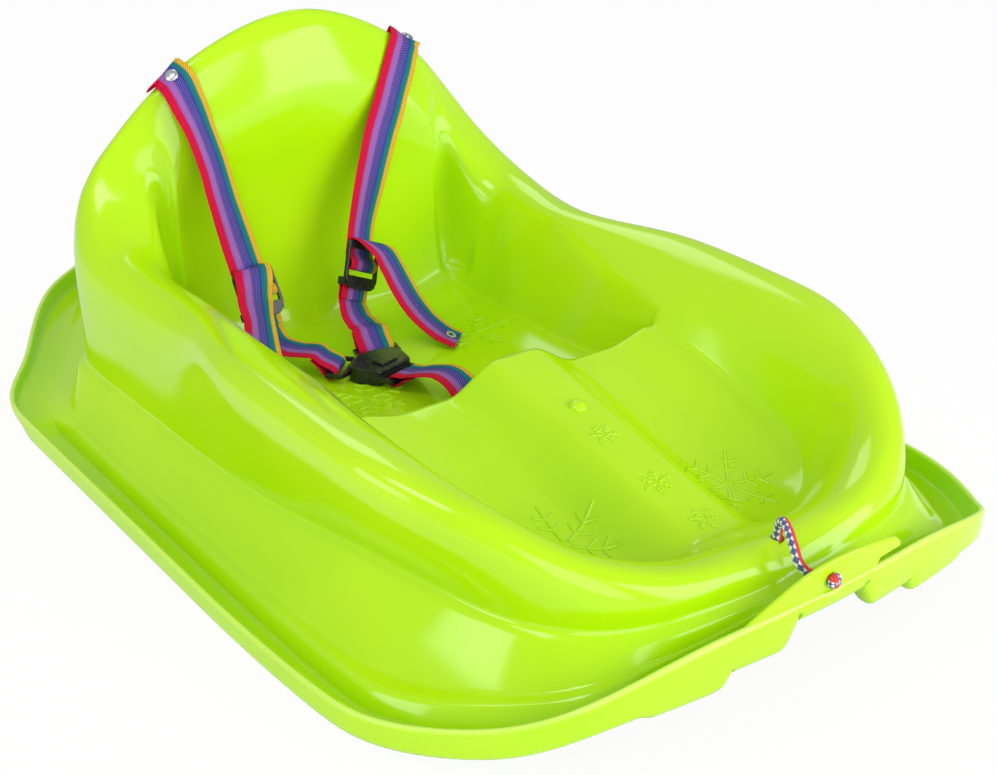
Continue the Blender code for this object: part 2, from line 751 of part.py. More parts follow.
class Adjuster:
    """A ladder adjuster on a shoulder strap."""

    def __init__(self, side, origin, across, along):
        """Keeps its frame: X across, Y up the strap and Z out to the front."""
        self.side = side
        self.place = frame(origin, across, along)

    def at(self, along, out, across=0.0):
        """World point of a place in the adjuster's frame."""
        return self.place @ Vector((across, along, out))

    @property
    def width(self):
        """Direction across the strap."""
        return self.place.to_3x3().col[0].copy()

    def build(self, finish, part, tools):
        """The frame with its bars, and the rear bar for the lower strap."""
        inside = BAR_LENGTH / 2
        half = inside + RAIL
        low, high = BOTTOM_BAR[0], TOP_BAR[1]
        outer = [(-half, low + 0.006), (-half * 0.72, low), (half * 0.72, low), (half, low + 0.006),
                 (half * 0.96, high), (-half * 0.96, high)]
        upper = rectangle(-inside, inside, MIDDLE_BAR, TOP_BAR[0])
        lower = rectangle(-inside, inside, BOTTOM_BAR[1], -MIDDLE_BAR)
        outlines = [rounded(outer, 0.0025), rounded(upper, 0.0008, 2), rounded(lower, 0.0008, 2)]
        obj = plate("adjuster_" + self.side, outlines, PLATE, finish, part, self.place, bevel=0.0005)
        for sign, name in ((-1, "outer"), (1, "inner")):
            x0, x1 = sorted((sign * inside, sign * (inside + RAIL * 0.8)))
            low_corner = (x0, REAR_BAR_AT - EAR / 2, REAR_BAR_BACK - REAR_BAR)
            ear = box(low_corner, (x1, REAR_BAR_AT + EAR / 2, 0.0), self.place)
            boolean(obj, cutter(f"ear_{self.side}_{name}", ear, tools), "UNION")
        reach = inside + RAIL * 0.5
        start, end = (self.at(REAR_BAR_AT, REAR_BAR_BACK, x) for x in (-reach, reach))
        boolean(obj, cutter("rear_bar_" + self.side, cylinder(REAR_BAR, start, end, 16), tools), "UNION")
        return obj

    def weave(self):
        """Stations of the shoulder strap from above the adjuster round its bars to above its top."""
        back = -(PLATE / 2 + GAP + WEB / 2)
        front = -back
        behind = back - LAYER
        bar = MIDDLE_BAR + GAP + WEB / 2
        top = TOP_BAR[1] + GAP + WEB / 2
        down = [(0.030, behind), (0.020, behind), (0.0125, behind), (0.0085, behind - 0.0001),
                (0.0045, behind + 0.0005), (0.0015, back - 0.0004), (-0.0010, back)]
        turn = [(-bar, back * 0.72), (-bar - 0.0008, 0.0), (-bar, front * 0.72), (-0.0008, front)]
        through = [(0.0012, front), (bar, front * 0.66), (bar + 0.0016, 0.0002), (0.0068, back * 0.8)]
        over = [(0.0100, back), (0.0140, back), (0.0156, back), (top - GAP, -0.0021), (top + GAP, 0.0),
                (top, 0.0023)]
        return [(self.at(u, n), self.width) for u, n in down + turn + through + over]

    def hook(self):
        """Stations of the lower strap from its sewn end round the rear bar and down."""
        r = REAR_BAR + GAP + WEB / 2
        mid = REAR_BAR_BACK
        front, back = mid + r, mid - r
        turns = [radians(d) for d in (-60, -30, 0, 30, 60)]
        turn = [(REAR_BAR_AT + r * cos(a), mid - r * sin(a)) for a in turns]
        low = REAR_BAR_AT - SEWN_END
        near = REAR_BAR_AT - SEWN_END / 2
        apart = (LAYER + GAP) / 2
        places = [(low, mid + apart), (near, mid + apart + GAP), (REAR_BAR_AT, front)] + turn
        places += [(REAR_BAR_AT, back), (near, mid - apart - GAP), (low, mid - apart)]
        return [(self.at(u, n), self.width) for u, n in places]


class Buckle:
    """The three-way buckle with its two tongues and release button."""

    def __init__(self, seat_height):
        """Keeps its frame: X across, Y along the harness and Z up, from its middle."""
        self.middle = seat_height + GAP + BUCKLE_HEIGHT / 2
        turn = Matrix.Rotation(BUCKLE_TURN, 4, "Z")
        self.place = Matrix.Translation((*BUCKLE_AT, self.middle)) @ turn

    def tongue_place(self, sign):
        """Frame of a tongue: Y outwards along it."""
        shift = Matrix.Translation((sign * TONGUE_OFFSET, TONGUE_BASE, 0.0))
        return self.place @ shift @ Matrix.Rotation(-sign * TONGUE_TURN, 4, "Z")

    def build_body(self, finish, part, tools):
        """The body with its sockets, button well and crotch bar."""
        corners = []
        for sign in (1, -1):
            local = self.place.inverted() @ self.tongue_place(sign)
            inner = local @ Vector((-sign * 0.0088, TONGUE_FACE, 0))
            outer = local @ Vector((sign * 0.0092, TONGUE_FACE, 0))
            pair = [(outer.x, outer.y), (inner.x, inner.y)]
            corners += pair if sign > 0 else pair[::-1]
        outline = [(-0.0150, -0.0095), (0.0150, -0.0095), (0.0205, 0.0030)] + corners + [(-0.0205, 0.0030)]
        shape = [rounded(outline, 0.0020, 3)]
        obj = plate("buckle_body", shape, BUCKLE_HEIGHT, finish, part, self.place, bevel=0.0012)
        half = BAR_LENGTH / 2
        front = CROTCH_SLOT[0] - CROTCH_BAR
        frame_outline = rectangle(-half - RAIL, half + RAIL, front, -0.0060)
        low, high = self.middle - TONGUE_PLATE / 2, self.middle + TONGUE_PLATE / 2
        loop = [self.place @ Vector((x, y, low - self.middle)) for x, y in rounded(frame_outline, 0.0018, 2)]
        boolean(obj, cutter("crotch_frame", prism(loop, Vector((0, 0, high - low))), tools), "UNION")
        slot = box((-half, CROTCH_SLOT[0], -0.01), (half, CROTCH_SLOT[1], 0.01), self.place)
        boolean(obj, cutter("crotch_slot", slot, tools), "DIFFERENCE")
        room = TONGUE_CLEARANCE
        for sign, side in ((-1, "left"), (1, "right")):
            x, z = BLADE / 2 + room, TONGUE_PLATE / 2 + room
            low_corner, high_corner = (-x, TONGUE_TIP - 2 * GAP, -z), (x, TONGUE_FACE + 0.004, z)
            socket = box(low_corner, high_corner, self.tongue_place(sign))
            boolean(obj, cutter("socket_" + side, socket, tools), "DIFFERENCE")
        x, y = (v + BUTTON_CLEARANCE for v in BUTTON)
        depth = BUTTON_SUNK + BUTTON_TRAVEL + 0.0002
        top = BUCKLE_HEIGHT / 2
        well = box((-x, -y, top - depth), (x, y, top + 0.002), self.place)
        boolean(obj, cutter("button_well", well, tools), "DIFFERENCE")
        return obj

    def build_button(self, finish, part):
        """The release button in its well."""
        x, y = BUTTON
        height = BUTTON_PROUD + BUTTON_SUNK
        lift = Matrix.Translation((0, 0, BUCKLE_HEIGHT / 2 + (BUTTON_PROUD - BUTTON_SUNK) / 2))
        outline = rounded(rectangle(-x, x, -y, y), 0.0016, 3)
        return plate("release_button", [outline], height, finish, part, self.place @ lift, bevel=0.0005)

    def build_tongue(self, sign, side, finish, part):
        """A tongue: blade, shoulder and the bar for its strap."""
        inside = BAR_LENGTH / 2
        half = inside + RAIL
        face = TONGUE_FACE + GAP
        end = TONGUE_SLOT[1] + TONGUE_BAR
        slot = TONGUE_SLOT[0]
        side_right = [(BLADE / 2, TONGUE_TIP), (BLADE / 2, face), (0.0090, face), (half, slot), (half, end)]
        outline = side_right + [(-x, y) for x, y in reversed(side_right)]
        hole = rounded(rectangle(-inside, inside, *TONGUE_SLOT), 0.0008, 2)
        return plate("buckle_tongue_" + side, [outline, hole], TONGUE_PLATE, finish, part,
                     self.tongue_place(sign), bevel=0.0004)

    def turn_round(self, place, bar, lean, outwards=1):
        """Stations of a strap from its sewn end round a bar and away at an angle to the plate."""
        away = Vector((0, outwards * cos(lean), sin(lean)))
        over = Vector((0, -outwards * sin(lean), cos(lean)))
        radius = Vector((TONGUE_BAR / 2, TONGUE_PLATE / 2)).length + GAP + WEB / 2
        apart = (LAYER + GAP) / 2
        far, near = SEWN_END + radius, SEWN_END / 2 + radius
        places = [(far, -apart), (near, -apart - GAP)]
        places += [(radius * cos(a), radius * sin(a)) for a in (radians(d) for d in range(-75, -286, -30))]
        places += [(near, apart + GAP), (far, apart)]
        width = place.to_3x3().col[0].copy()
        return [(place @ (Vector((0, bar, 0)) + away * t + over * z), width) for t, z in places]


def stations(*rows):
    """Places in millimetres with the direction across the strap there."""
    return [(Vector(p) * MM, Vector(way)) for p, way in rows]


def shoulder_strap(side, rim, adjuster, tail, surface, finish, part):
    """A shoulder strap from its end on the rim, round the adjuster, to its free tail."""
    over = smooth_path(rim + adjuster.weave()[:1], 0.006)[:-1]
    weave = smooth_path(adjuster.weave(), 0.002)[:-1]
    down = smooth_path(adjuster.weave()[-1:] + tail, 0.008)
    return webbing("shoulder_strap_" + side, over + weave + down, finish, part, across=4, surface=surface)


def lower_strap(side, sign, adjuster, buckle, middle, finish, part):
    """A lower strap from the adjuster's rear bar to its tongue."""
    bar = TONGUE_SLOT[1] + TONGUE_BAR / 2
    hook = adjuster.hook()
    turn = buckle.turn_round(buckle.tongue_place(sign), bar, TONGUE_LEAN)[::-1]
    path = smooth_path(hook + middle + turn, 0.0045)
    return webbing("lower_strap_" + side, path, finish, part)


def tube(name, points, radius, finish, group):
    """A round cord along points."""
    curve = bpy.data.curves.new(name, "CURVE")
    curve.dimensions = "3D"
    curve.bevel_depth = radius
    curve.bevel_resolution = 3
    curve.use_fill_caps = True
    curve.materials.append(finish)
    spline = curve.splines.new("POLY")
    spline.points.add(len(points) - 1)
    for point, p in zip(spline.points, points):
        point.co = (*p, 1.0)
    obj = bpy.data.objects.new(name, curve)
    group.objects.link(obj)
    return obj


def make_cord(shell, finish, part, tools):
    """The pull cord through rim and tongue, its knots, and its length put away under the seat."""
    hole = cylinder(CORD_HOLE, (0, CORD_HOLE_Y, 0.050), (0, CORD_HOLE_Y, 0.080))
    boolean(shell, cutter("rim_cord_hole", hole, tools), "DIFFERENCE")
    front = NOSE_Y + FLAP_SETBACK
    hole = cylinder(CORD_HOLE, (0, front - 0.004, CORD_HOLE_Z), (0, front + FLAP + 0.004, CORD_HOLE_Z))
    boolean(shell, cutter("tongue_cord_hole", hole, tools), "DIFFERENCE")
    centre = HANK_HEIGHT / 2 + TIE + 2 * GAP
    knot_back = front - GAP
    run = mm((0, -358, 66.5), (0, -350, 74), (0, -342, 76.5), (0, -336.6, 73), (0, -336, 64), (0, -335, 52),
             (0, -328, 36), (0, -312, 20))
    ends = [(0, knot_back + 0.0004, CORD_HOLE_Z), (0, front + 0.008, CORD_HOLE_Z + 0.0006)]
    inside = [(0, -0.2900, centre), (0, -0.2740, centre), (0, HANK_FRONT - GAP, centre)]
    points = [p for p, _ in smooth_path([(p, (1, 0, 0)) for p in ends + run + inside], 0.0045)]
    tube("pull_cord", points, CORD / 2, finish, part)
    shape = ((0, 0), (0.82, 0), (1, 0.30), (1, 0.62), (0.80, 0.90), (0.35, 1), (0, 1))
    knot = [(KNOT * r, KNOT_DEPTH * z) for r, z in shape]
    place = axis_frame(Vector((0, knot_back, CORD_HOLE_Z)), Vector((0, -1, 0)))
    bm_object("cord_knot_front", turned(knot, place, 20), finish, part)
    half = HANK_WIDTH / 2
    low = TIE + 2 * GAP
    round_end = [(half * cos(a), half * sin(a)) for a in (pi * k / 12 for k in range(13))]
    outline = [(x, HANK_REAR - half + y, low) for x, y in round_end]
    outline += [(-x, HANK_FRONT + half - y, low) for x, y in round_end]
    bm_object("cord_hank", prism(outline, Vector((0, 0, HANK_HEIGHT))), finish, part)
    middle = (HANK_FRONT + HANK_REAR) / 2
    inner = half + GAP
    tie = [(x, middle - TIE_WIDTH / 2, z) for x, z in
           rectangle(-inner - TIE, inner + TIE, GAP, HANK_HEIGHT + 3 * GAP + 2 * TIE)]
    obj = bm_object("hank_tie", prism(tie, Vector((0, TIE_WIDTH, 0))), finish, part)
    room = box((-inner, middle - TIE_WIDTH, low - GAP), (inner, middle + TIE_WIDTH, low + HANK_HEIGHT + GAP))
    boolean(obj, cutter("hank_room", room, tools), "DIFFERENCE")
    place = axis_frame(Vector((0, HANK_REAR + GAP, centre)), Vector((0, 1, 0)))
    bm_object("cord_knot_end", turned(knot, place, 20), finish, part)


def make_harness(shell, finishes, part, tools):
    """Straps, adjusters, buckle, rivets and eyelets."""
    surface = Surface(shell)
    web, black, steel = finishes
    seat = surface.top(-0.014, -0.003)
    buckle = Buckle(seat)
    buckle.build_body(black, part, tools)
    buckle.build_button(black, part)
    left = Adjuster("left", mm((-71, 57.5, 87))[0], (1, 0.02, -0.10), (-0.11, 0.33, 0.94))
    right = Adjuster("right", mm((10, 60, 87.5))[0], (0.93, 0.22, -0.29), (0.35, 0.29, 0.88))
    rims = {
        "left": stations(((-93, 132, 213.7), (0.78, 0.1, 0.58)), ((-92.3, 127.5, 219.5), (0.78, 0.1, 0.58)),
                         ((-91.4, 123, 223.2), (0.78, 0.08, 0.58)), ((-90.4, 118.5, 222), (0.78, 0.06, 0.58)),
                         ((-89, 113, 219.3), (0.79, 0.06, 0.56)), ((-86.5, 104, 206), (0.86, 0.2, 0.4)),
                         ((-83.3, 95, 187.5), (0.90, 0.38, 0.2)),
                         ((-81.3, 86, 168), (0.94, 0.3, 0)), ((-80, 79, 148), (0.96, 0.22, -0.1)),
                         ((-78, 70, 122), (0.98, 0.1, -0.1))),
        "right": stations(((94, 132, 213.7), (0.78, -0.1, -0.58)), ((93, 127.5, 219.5), (0.78, -0.1, -0.58)),
                          ((91.4, 123, 223.2), (0.78, -0.08, -0.58)), ((88.8, 118.5, 222.8), (0.79, -0.08, -0.58)),
                          ((84.8, 112.5, 221), (0.81, -0.08, -0.55)), ((73, 104, 206.5), (0.88, -0.15, -0.42)),
                          ((59.5, 95, 185.5), (0.94, -0.11, -0.32)),
                          ((48, 88, 170), (0.96, -0.1, -0.25)), ((35, 80, 148.5), (0.96, 0, -0.22)),
                          ((21, 70.5, 123), (0.95, 0.1, -0.28))),
    }
    tails = {
        "left": stations(((-77.5, 50, 98.5), (0.97, 0, 0)), ((-79.5, 46, 89), (0.98, 0, -0.05)),
                         ((-79.8, 42.5, 76), (0.96, 0.2, -0.15)), ((-82, 36, 60), (0.99, 0.05, -0.1)),
                         ((-83.5, 28, 48), (1, 0, -0.05)), ((-83.5, 19, 42.8), (1, 0.03, -0.07)),
                         ((-83, 10, 40.7), (1, 0.05, -0.07)), ((-82, 0, 39.2), (1, 0.05, -0.07))),
        "right": stations(((21.5, 51.5, 98.5), (0.91, 0.36, -0.19)), ((25.7, 46, 88), (0.94, 0.33, -0.11)),
                          ((29.5, 40, 75), (0.94, 0.33, -0.06)), ((34.2, 34, 62.5), (0.94, 0.32, -0.1)),
                          ((41, 27, 50.5), (0.92, 0.38, -0.1)), ((49, 19, 41.5), (0.9, 0.42, -0.05)),
                          ((56, 11, 37), (0.87, 0.5, 0))),
    }
    middles = {
        "left": stations(((-64.5, 48.5, 53.5), (0.95, 0.25, -0.05)), ((-57, 39, 50.5), (0.87, 0.45, 0))),
        "right": stations(((0.2, 53, 54.5), (0.96, 0.1, -0.2)), ((1.4, 46, 50.5), (0.98, -0.1, -0.1))),
    }
    for sign, adjuster in ((-1, left), (1, right)):
        side = adjuster.side
        adjuster.build(black, part, tools)
        tail = tails[side]
        strap = shoulder_strap(side, rims[side], adjuster, tail, surface, web, part)
        buckle.build_tongue(sign, side, black, part)
        lower_strap(side, sign, adjuster, buckle, middles[side], web, part)
        place = (sign * RIVET_X, RIVET_Y, CORNER_HEIGHT)
        lean = (sign * 0.60, 0.10, 0.78)
        fasten("shoulder_" + side, place, lean, shell, surface, strap, steel, part, tools)
        end, before = Vector(tail[-1][0]), Vector(tail[-2][0])
        eyelet_at = between(end, before, 0.55)
        along = (before - end).normalized()
        way = Vector(tail[-1][1])
        way = (way - along * way.dot(along)).normalized()
        normal = way.cross(along).normalized()
        eyelet(side, eyelet_at, normal, strap, steel, part, tools)
    crotch = crotch_strap(buckle, web, part)
    place = (0, CROTCH_RIVET_Y, SEAT_HEIGHT)
    fasten("crotch", place, (0, 0, 1), shell, surface, crotch, steel, part, tools)


def eyelet(side, point, normal, strap, finish, part, tools):
    """A metal eyelet through the tail's end: a tube with two flanges."""
    bore, wall, flange, lip = 0.0018, 0.0006, 0.0036, 0.0005
    half = WEB / 2 + GAP
    outer = bore + wall
    profile = [(bore, -half - lip), (flange, -half - lip), (flange, -half), (outer, -half), (outer, half),
               (flange, half), (flange, half + lip), (bore, half + lip)]
    bm_object("tail_eyelet_" + side, hollow(profile, axis_frame(point, normal), 20), finish, part)
    hole = cylinder(outer + GAP, point - normal * 0.004, point + normal * 0.004, 20)
    boolean(strap, cutter("eyelet_hole_" + side, hole, tools), "DIFFERENCE")


def crotch_strap(buckle, finish, part):
    """The crotch strap from the buckle's front bar to the seat pan."""
    bar = CROTCH_SLOT[0] - CROTCH_BAR / 2
    turn = buckle.turn_round(buckle.place, bar, CROTCH_LEAN, outwards=-1)
    lie = (SEAT_HEIGHT + GAP + WEB / 2) / MM + 0.4
    rivet_y = CROTCH_RIVET_Y / MM
    arch = stations(((-2.2, -42, 49.2), (0.97, 0.24, 0)), ((0, -51, 51.2), (0.97, 0.22, 0)),
                    ((1.5, -59, 50.5), (0.98, 0.2, 0)), ((2.6, -67, 47.5), (1, 0.15, 0)),
                    ((2.8, -75, 42.5), (1, 0.1, 0)), ((2.0, -83, 37.5), (1, 0.05, 0)),
                    ((0.8, -90, lie), (1, 0, 0)), ((0, rivet_y, lie), (1, 0, 0)),
                    ((0, rivet_y - 8.5, lie), (1, 0, 0)))
    path = smooth_path(turn + arch, 0.004)
    return webbing("crotch_strap", path, finish, part)


def main():
    """Builds the sled."""
    clear_scene()
    part = collection("toddler_sled")
    tools = collection("cutters")
    green = material("lime_plastic", (0.42, 0.76, 0.01), 0.30)
    black = material("black_plastic", (0.02, 0.02, 0.02), 0.35)
    steel = material("rivet_steel", (0.72, 0.72, 0.72), 0.25, 1.0)
    web = material("rainbow_webbing", (0.30, 0.16, 0.55), 0.85)
    cord = material("braided_cord", (0.75, 0.12, 0.10), 0.85)
    shell = make_shell(part, tools, green)
    make_harness(shell, (web, black, steel), part, tools)
    make_cord(shell, cord, part, tools)


if __name__ == "__main__":
    main()
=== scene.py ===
"""Toddler sled: a moulded tub with its tongue, a rainbow harness with its buckle, and a braided pull cord.

Metres, +Z up, nose towards -Y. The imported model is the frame, and every piece rides on one of its bodies.
"""
from __future__ import annotations

import json
import logging
from dataclasses import dataclass, field
from enum import Enum
from math import cos, pi, radians, sin, tau
from typing import Callable, Sequence

import bmesh
import bpy
import numpy as np
from mathutils import Matrix, Vector
from mathutils.bvhtree import BVHTree

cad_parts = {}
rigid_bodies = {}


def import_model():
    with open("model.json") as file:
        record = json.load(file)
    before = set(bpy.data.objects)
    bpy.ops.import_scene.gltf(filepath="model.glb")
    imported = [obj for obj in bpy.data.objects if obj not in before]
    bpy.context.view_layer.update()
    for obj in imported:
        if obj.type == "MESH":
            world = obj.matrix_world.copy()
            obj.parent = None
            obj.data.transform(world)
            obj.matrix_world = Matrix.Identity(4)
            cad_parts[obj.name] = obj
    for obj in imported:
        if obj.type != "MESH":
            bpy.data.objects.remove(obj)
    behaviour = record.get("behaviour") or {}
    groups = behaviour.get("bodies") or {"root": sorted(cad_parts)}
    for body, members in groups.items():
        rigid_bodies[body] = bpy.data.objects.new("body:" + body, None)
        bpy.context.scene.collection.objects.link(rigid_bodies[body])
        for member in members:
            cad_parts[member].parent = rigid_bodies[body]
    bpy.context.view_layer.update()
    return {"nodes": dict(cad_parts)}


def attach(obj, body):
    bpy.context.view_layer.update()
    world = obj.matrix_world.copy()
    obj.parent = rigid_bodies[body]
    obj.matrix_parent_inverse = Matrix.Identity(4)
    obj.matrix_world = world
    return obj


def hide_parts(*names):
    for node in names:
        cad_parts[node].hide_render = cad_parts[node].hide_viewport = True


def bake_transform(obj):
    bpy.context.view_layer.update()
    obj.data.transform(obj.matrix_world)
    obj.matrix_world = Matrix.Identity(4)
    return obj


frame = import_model()

LOG = logging.getLogger("toddler_sled")
MM = 0.001
GAP = 0.0003
SEAM_LIFT = 0.00085
Colour = tuple[float, float, float]
Station = tuple[Vector, Vector]
Points = np.ndarray


class Side(Enum):
    """Side of the harness."""

    LEFT = "left"
    RIGHT = "right"

    @property
    def sign(self) -> int:
        """-1 on the left and 1 on the right."""
        return -1 if self is Side.LEFT else 1


def smoothstep(low: float, high: float, value: float) -> float:
    """0 below low, 1 above high, smooth between."""
    t = min(max((value - low) / (high - low), 0.0), 1.0)
    return t * t * (3 - 2 * t)


def smooth(low: float, high: float, values: Points) -> Points:
    """The same for an array."""
    t = np.clip((values - low) / (high - low), 0.0, 1.0)
    return t * t * (3 - 2 * t)


def between(start: Vector, end: Vector, share: float) -> Vector:
    """Point at the share from start to end."""
    return start + (end - start) * share


def round_point(a: Vector, b: Vector, c: Vector, d: Vector, f: float) -> Vector:
    """Centripetal Catmull-Rom point between b and c."""
    one, two, three = (max((q - p).length, 1e-7) ** 0.5 for p, q in ((a, b), (b, c), (c, d)))
    start = ((b - a) / one - (c - a) / (one + two) + (c - b) / two) * two
    end = ((c - b) / two - (d - b) / (two + three) + (d - c) / three) * two
    rise = c - b
    return b + start * f + (3 * rise - 2 * start - end) * f * f + (start + end - 2 * rise) * f ** 3


def extended(points: list[Vector]) -> list[Vector]:
    """The points with one more beyond each end."""
    return [2 * points[0] - points[1]] + points + [2 * points[-1] - points[-2]]


def stations(*rows: tuple[tuple, tuple]) -> list[Station]:
    """Places in millimetres with the direction across the strap there."""
    return [(Vector(p) * MM, Vector(way)) for p, way in rows]


# Shader and geometry node maths

def operator(operation: str, flipped: bool = False) -> Callable[["Value", "Value | float"], "Value"]:
    """The method that an operator on a Value calls.

    Args:
        operation: The operation of its Math node.
        flipped: Whether the value comes second.

    Returns:
        The method.
    """
    def method(self: "Value", other: "Value | float") -> "Value":
        """One Math node on this value and the other."""
        first, second = (other, self) if flipped else (self, other)
        return self.recipe.node("ShaderNodeMath", {"operation": operation}, {0: first, 1: second})

    return method


class Value:
    """A node socket that grows Math nodes when it is used in an expression."""

    def __init__(self, recipe: "Recipe", socket: bpy.types.NodeSocket) -> None:
        """Keeps the tree and the socket."""
        self.recipe = recipe
        self.socket = socket

    def math(self, operation: str, *others: "Value | float") -> "Value":
        """One Math node on this value.

        Args:
            operation: The node's operation.
            others: Its further inputs.

        Returns:
            The result's socket.
        """
        inputs = dict(enumerate((self, *others)))
        return self.recipe.node("ShaderNodeMath", {"operation": operation}, inputs)

    __add__ = operator("ADD")
    __radd__ = operator("ADD", True)
    __sub__ = operator("SUBTRACT")
    __rsub__ = operator("SUBTRACT", True)
    __mul__ = operator("MULTIPLY")
    __rmul__ = operator("MULTIPLY", True)
    __truediv__ = operator("DIVIDE")
    __mod__ = operator("FLOORED_MODULO")
    __gt__ = operator("GREATER_THAN")
    __lt__ = operator("LESS_THAN")

    def wave(self, length: float) -> "Value":
        """A sine from 0 to 1 that repeats at each length."""
        return (self * (tau / length)).math("SINE") * 0.5 + 0.5

    def step(self, low: float, high: float) -> "Value":
        """0 below low, 1 above high, smooth between."""
        inputs = {"Value": self, "From Min": low, "From Max": high}
        return self.recipe.node("ShaderNodeMapRange", {"interpolation_type": "SMOOTHSTEP"}, inputs)


class Recipe:
    """A node tree under construction."""

    def __init__(self, tree: bpy.types.NodeTree) -> None:
        """Keeps the tree."""
        self.tree = tree

    def node(self, kind: str, settings: dict | None = None, inputs: dict | None = None,
             output: int | str = 0) -> Value:
        """Adds a node.

        Args:
            kind: Its type.
            settings: Its properties; "stops" holds a ramp's places and colours.
            inputs: Values or links by socket name or number.
            output: The socket that is wanted.

        Returns:
            That socket.
        """
        made = self.tree.nodes.new(kind)
        for name, value in (settings or {}).items():
            if name == "stops":
                self.set_stops(made.color_ramp, value)
            else:
                setattr(made, name, value)
        for key, value in (inputs or {}).items():
            socket = made.inputs[key]
            if isinstance(value, Value):
                self.tree.links.new(value.socket, socket)
            else:
                socket.default_value = value
        return Value(self, made.outputs[output])

    @staticmethod
    def set_stops(ramp: bpy.types.ColorRamp, stops: Sequence[tuple[float, Colour]]) -> None:
        """Gives a ramp its places and colours."""
        while len(ramp.elements) < len(stops):
            ramp.elements.new(0.5)
        for element, (place, colour) in zip(ramp.elements, stops):
            element.position = place
            element.color = (*colour, 1.0)


class Paint(Recipe):
    """The node tree of a material."""

    def __init__(self, name: str) -> None:
        """Starts an empty material."""
        self.material = bpy.data.materials.new(name)
        self.material.use_nodes = True
        super().__init__(self.material.node_tree)
        self.tree.nodes.clear()
        self.out = self.tree.nodes.new("ShaderNodeOutputMaterial")

    def place(self) -> Value:
        """Object coordinates."""
        return self.node("ShaderNodeTexCoord", output="Object")

    def uv(self) -> tuple[Value, Value]:
        """The two numbers of the piece's own UV map."""
        both = self.node("ShaderNodeUVMap", {"uv_map": "UVMap"})
        return tuple(self.node("ShaderNodeSeparateXYZ", inputs={0: both}, output=k) for k in (0, 1))

    def attribute(self, name: str) -> Value:
        """A number kept on the mesh."""
        return self.node("ShaderNodeAttribute", {"attribute_name": name}, output="Fac")

    def noise(self, place: Value, scale: float, detail: float = 2.0,
              stretch: tuple[float, float, float] = (1.0, 1.0, 1.0)) -> Value:
        """Noise over a place.

        Args:
            place: Coordinates.
            scale: Cells per metre.
            detail: Octaves.
            stretch: Factors along the three axes.

        Returns:
            The noise, about 0.5.
        """
        at = self.node("ShaderNodeMapping", inputs={"Vector": place, "Scale": stretch})
        return self.node("ShaderNodeTexNoise", inputs={"Vector": at, "Scale": scale, "Detail": detail})

    def mix(self, share: Value | float, first: Value | Colour, second: Value | Colour) -> Value:
        """Colour at a share from the first to the second."""
        a, b = (c if isinstance(c, Value) else (*c, 1.0) for c in (first, second))
        return self.node("ShaderNodeMix", {"data_type": "RGBA"}, {0: share, 6: a, 7: b}, output=2)

    def bump(self, height: Value, strength: float, distance: float) -> Value:
        """Normals raised by a height from 0 to 1."""
        inputs = {"Height": height, "Strength": strength, "Distance": distance}
        return self.node("ShaderNodeBump", inputs=inputs)

    def finish(self, **inputs: Value | float | Colour) -> bpy.types.Material:
        """Ends the material in a Principled shader.

        Args:
            inputs: Its sockets, with underscores for spaces.

        Returns:
            The material.
        """
        named = {}
        for key, value in inputs.items():
            value = (*value, 1.0) if isinstance(value, tuple) and len(value) == 3 else value
            named[key.replace("_", " ")] = value
        shader = self.node("ShaderNodeBsdfPrincipled", inputs=named)
        self.tree.links.new(shader.socket, self.out.inputs["Surface"])
        return self.material


@dataclass(frozen=True)
class MouldedPlastic:
    """Glossy polyethylene with a faint skin texture, paler at its thin trimmed edge."""

    name: str = "lime_moulding"
    deep: Colour = (0.430, 0.760, 0.003)
    bright: Colour = (0.480, 0.800, 0.006)
    pale: Colour = (0.66, 0.90, 0.16)
    roughness: float = 0.10

    def make(self) -> bpy.types.Material:
        """Builds the material."""
        p = Paint(self.name)
        place = p.place()
        cloud = p.noise(place, 7.0, 3.0)
        fine = p.noise(place, 900.0, 2.0)
        flow = p.noise(place, 26.0, 4.0, (1.0, 0.25, 1.0))
        scuff = p.noise(place, 60.0, 5.0, (1.0, 0.06, 1.0)).step(0.60, 0.72)
        colour = p.mix(cloud.step(0.35, 0.65), self.deep, self.bright)
        colour = p.mix(p.attribute("trimmed") * 0.75, colour, self.pale)
        rough = self.roughness + flow * 0.05 + scuff * 0.04 + p.attribute("trimmed") * 0.2
        skin = fine * 0.5 + flow * 0.5
        return p.finish(Base_Color=colour, Roughness=rough, IOR=1.50, Normal=p.bump(skin, 0.05, 0.0004))


@dataclass(frozen=True)
class BlackPlastic:
    """Satin black acetal with fine mould texture."""

    name: str = "black_acetal"
    colour: Colour = (0.012, 0.012, 0.013)
    worn: Colour = (0.026, 0.026, 0.028)
    roughness: float = 0.20

    def make(self) -> bpy.types.Material:
        """Builds the material."""
        p = Paint(self.name)
        place = p.place()
        cloud = p.noise(place, 160.0, 4.0)
        grain = p.noise(place, 2600.0, 2.0)
        rough = self.roughness + cloud * 0.14
        colour = p.mix(cloud.step(0.45, 0.75), self.colour, self.worn)
        return p.finish(Base_Color=colour, Roughness=rough, Normal=p.bump(grain, 0.25, 0.0002))


@dataclass(frozen=True)
class PlatedSteel:
    """Bright plated steel with fine turning marks."""

    name: str = "plated_steel"
    colour: Colour = (0.70, 0.71, 0.73)
    dull: Colour = (0.50, 0.50, 0.52)

    def make(self) -> bpy.types.Material:
        """Builds the material."""
        p = Paint(self.name)
        place = p.place()
        spots = p.noise(place, 420.0, 4.0)
        marks = p.noise(place, 1500.0, 2.0, (1.0, 1.0, 5.0))
        colour = p.mix(spots.step(0.5, 0.75), self.colour, self.dull)
        return p.finish(Base_Color=colour, Metallic=1.0, Roughness=0.20 + spots * 0.16,
                        Normal=p.bump(marks, 0.12, 0.0002))


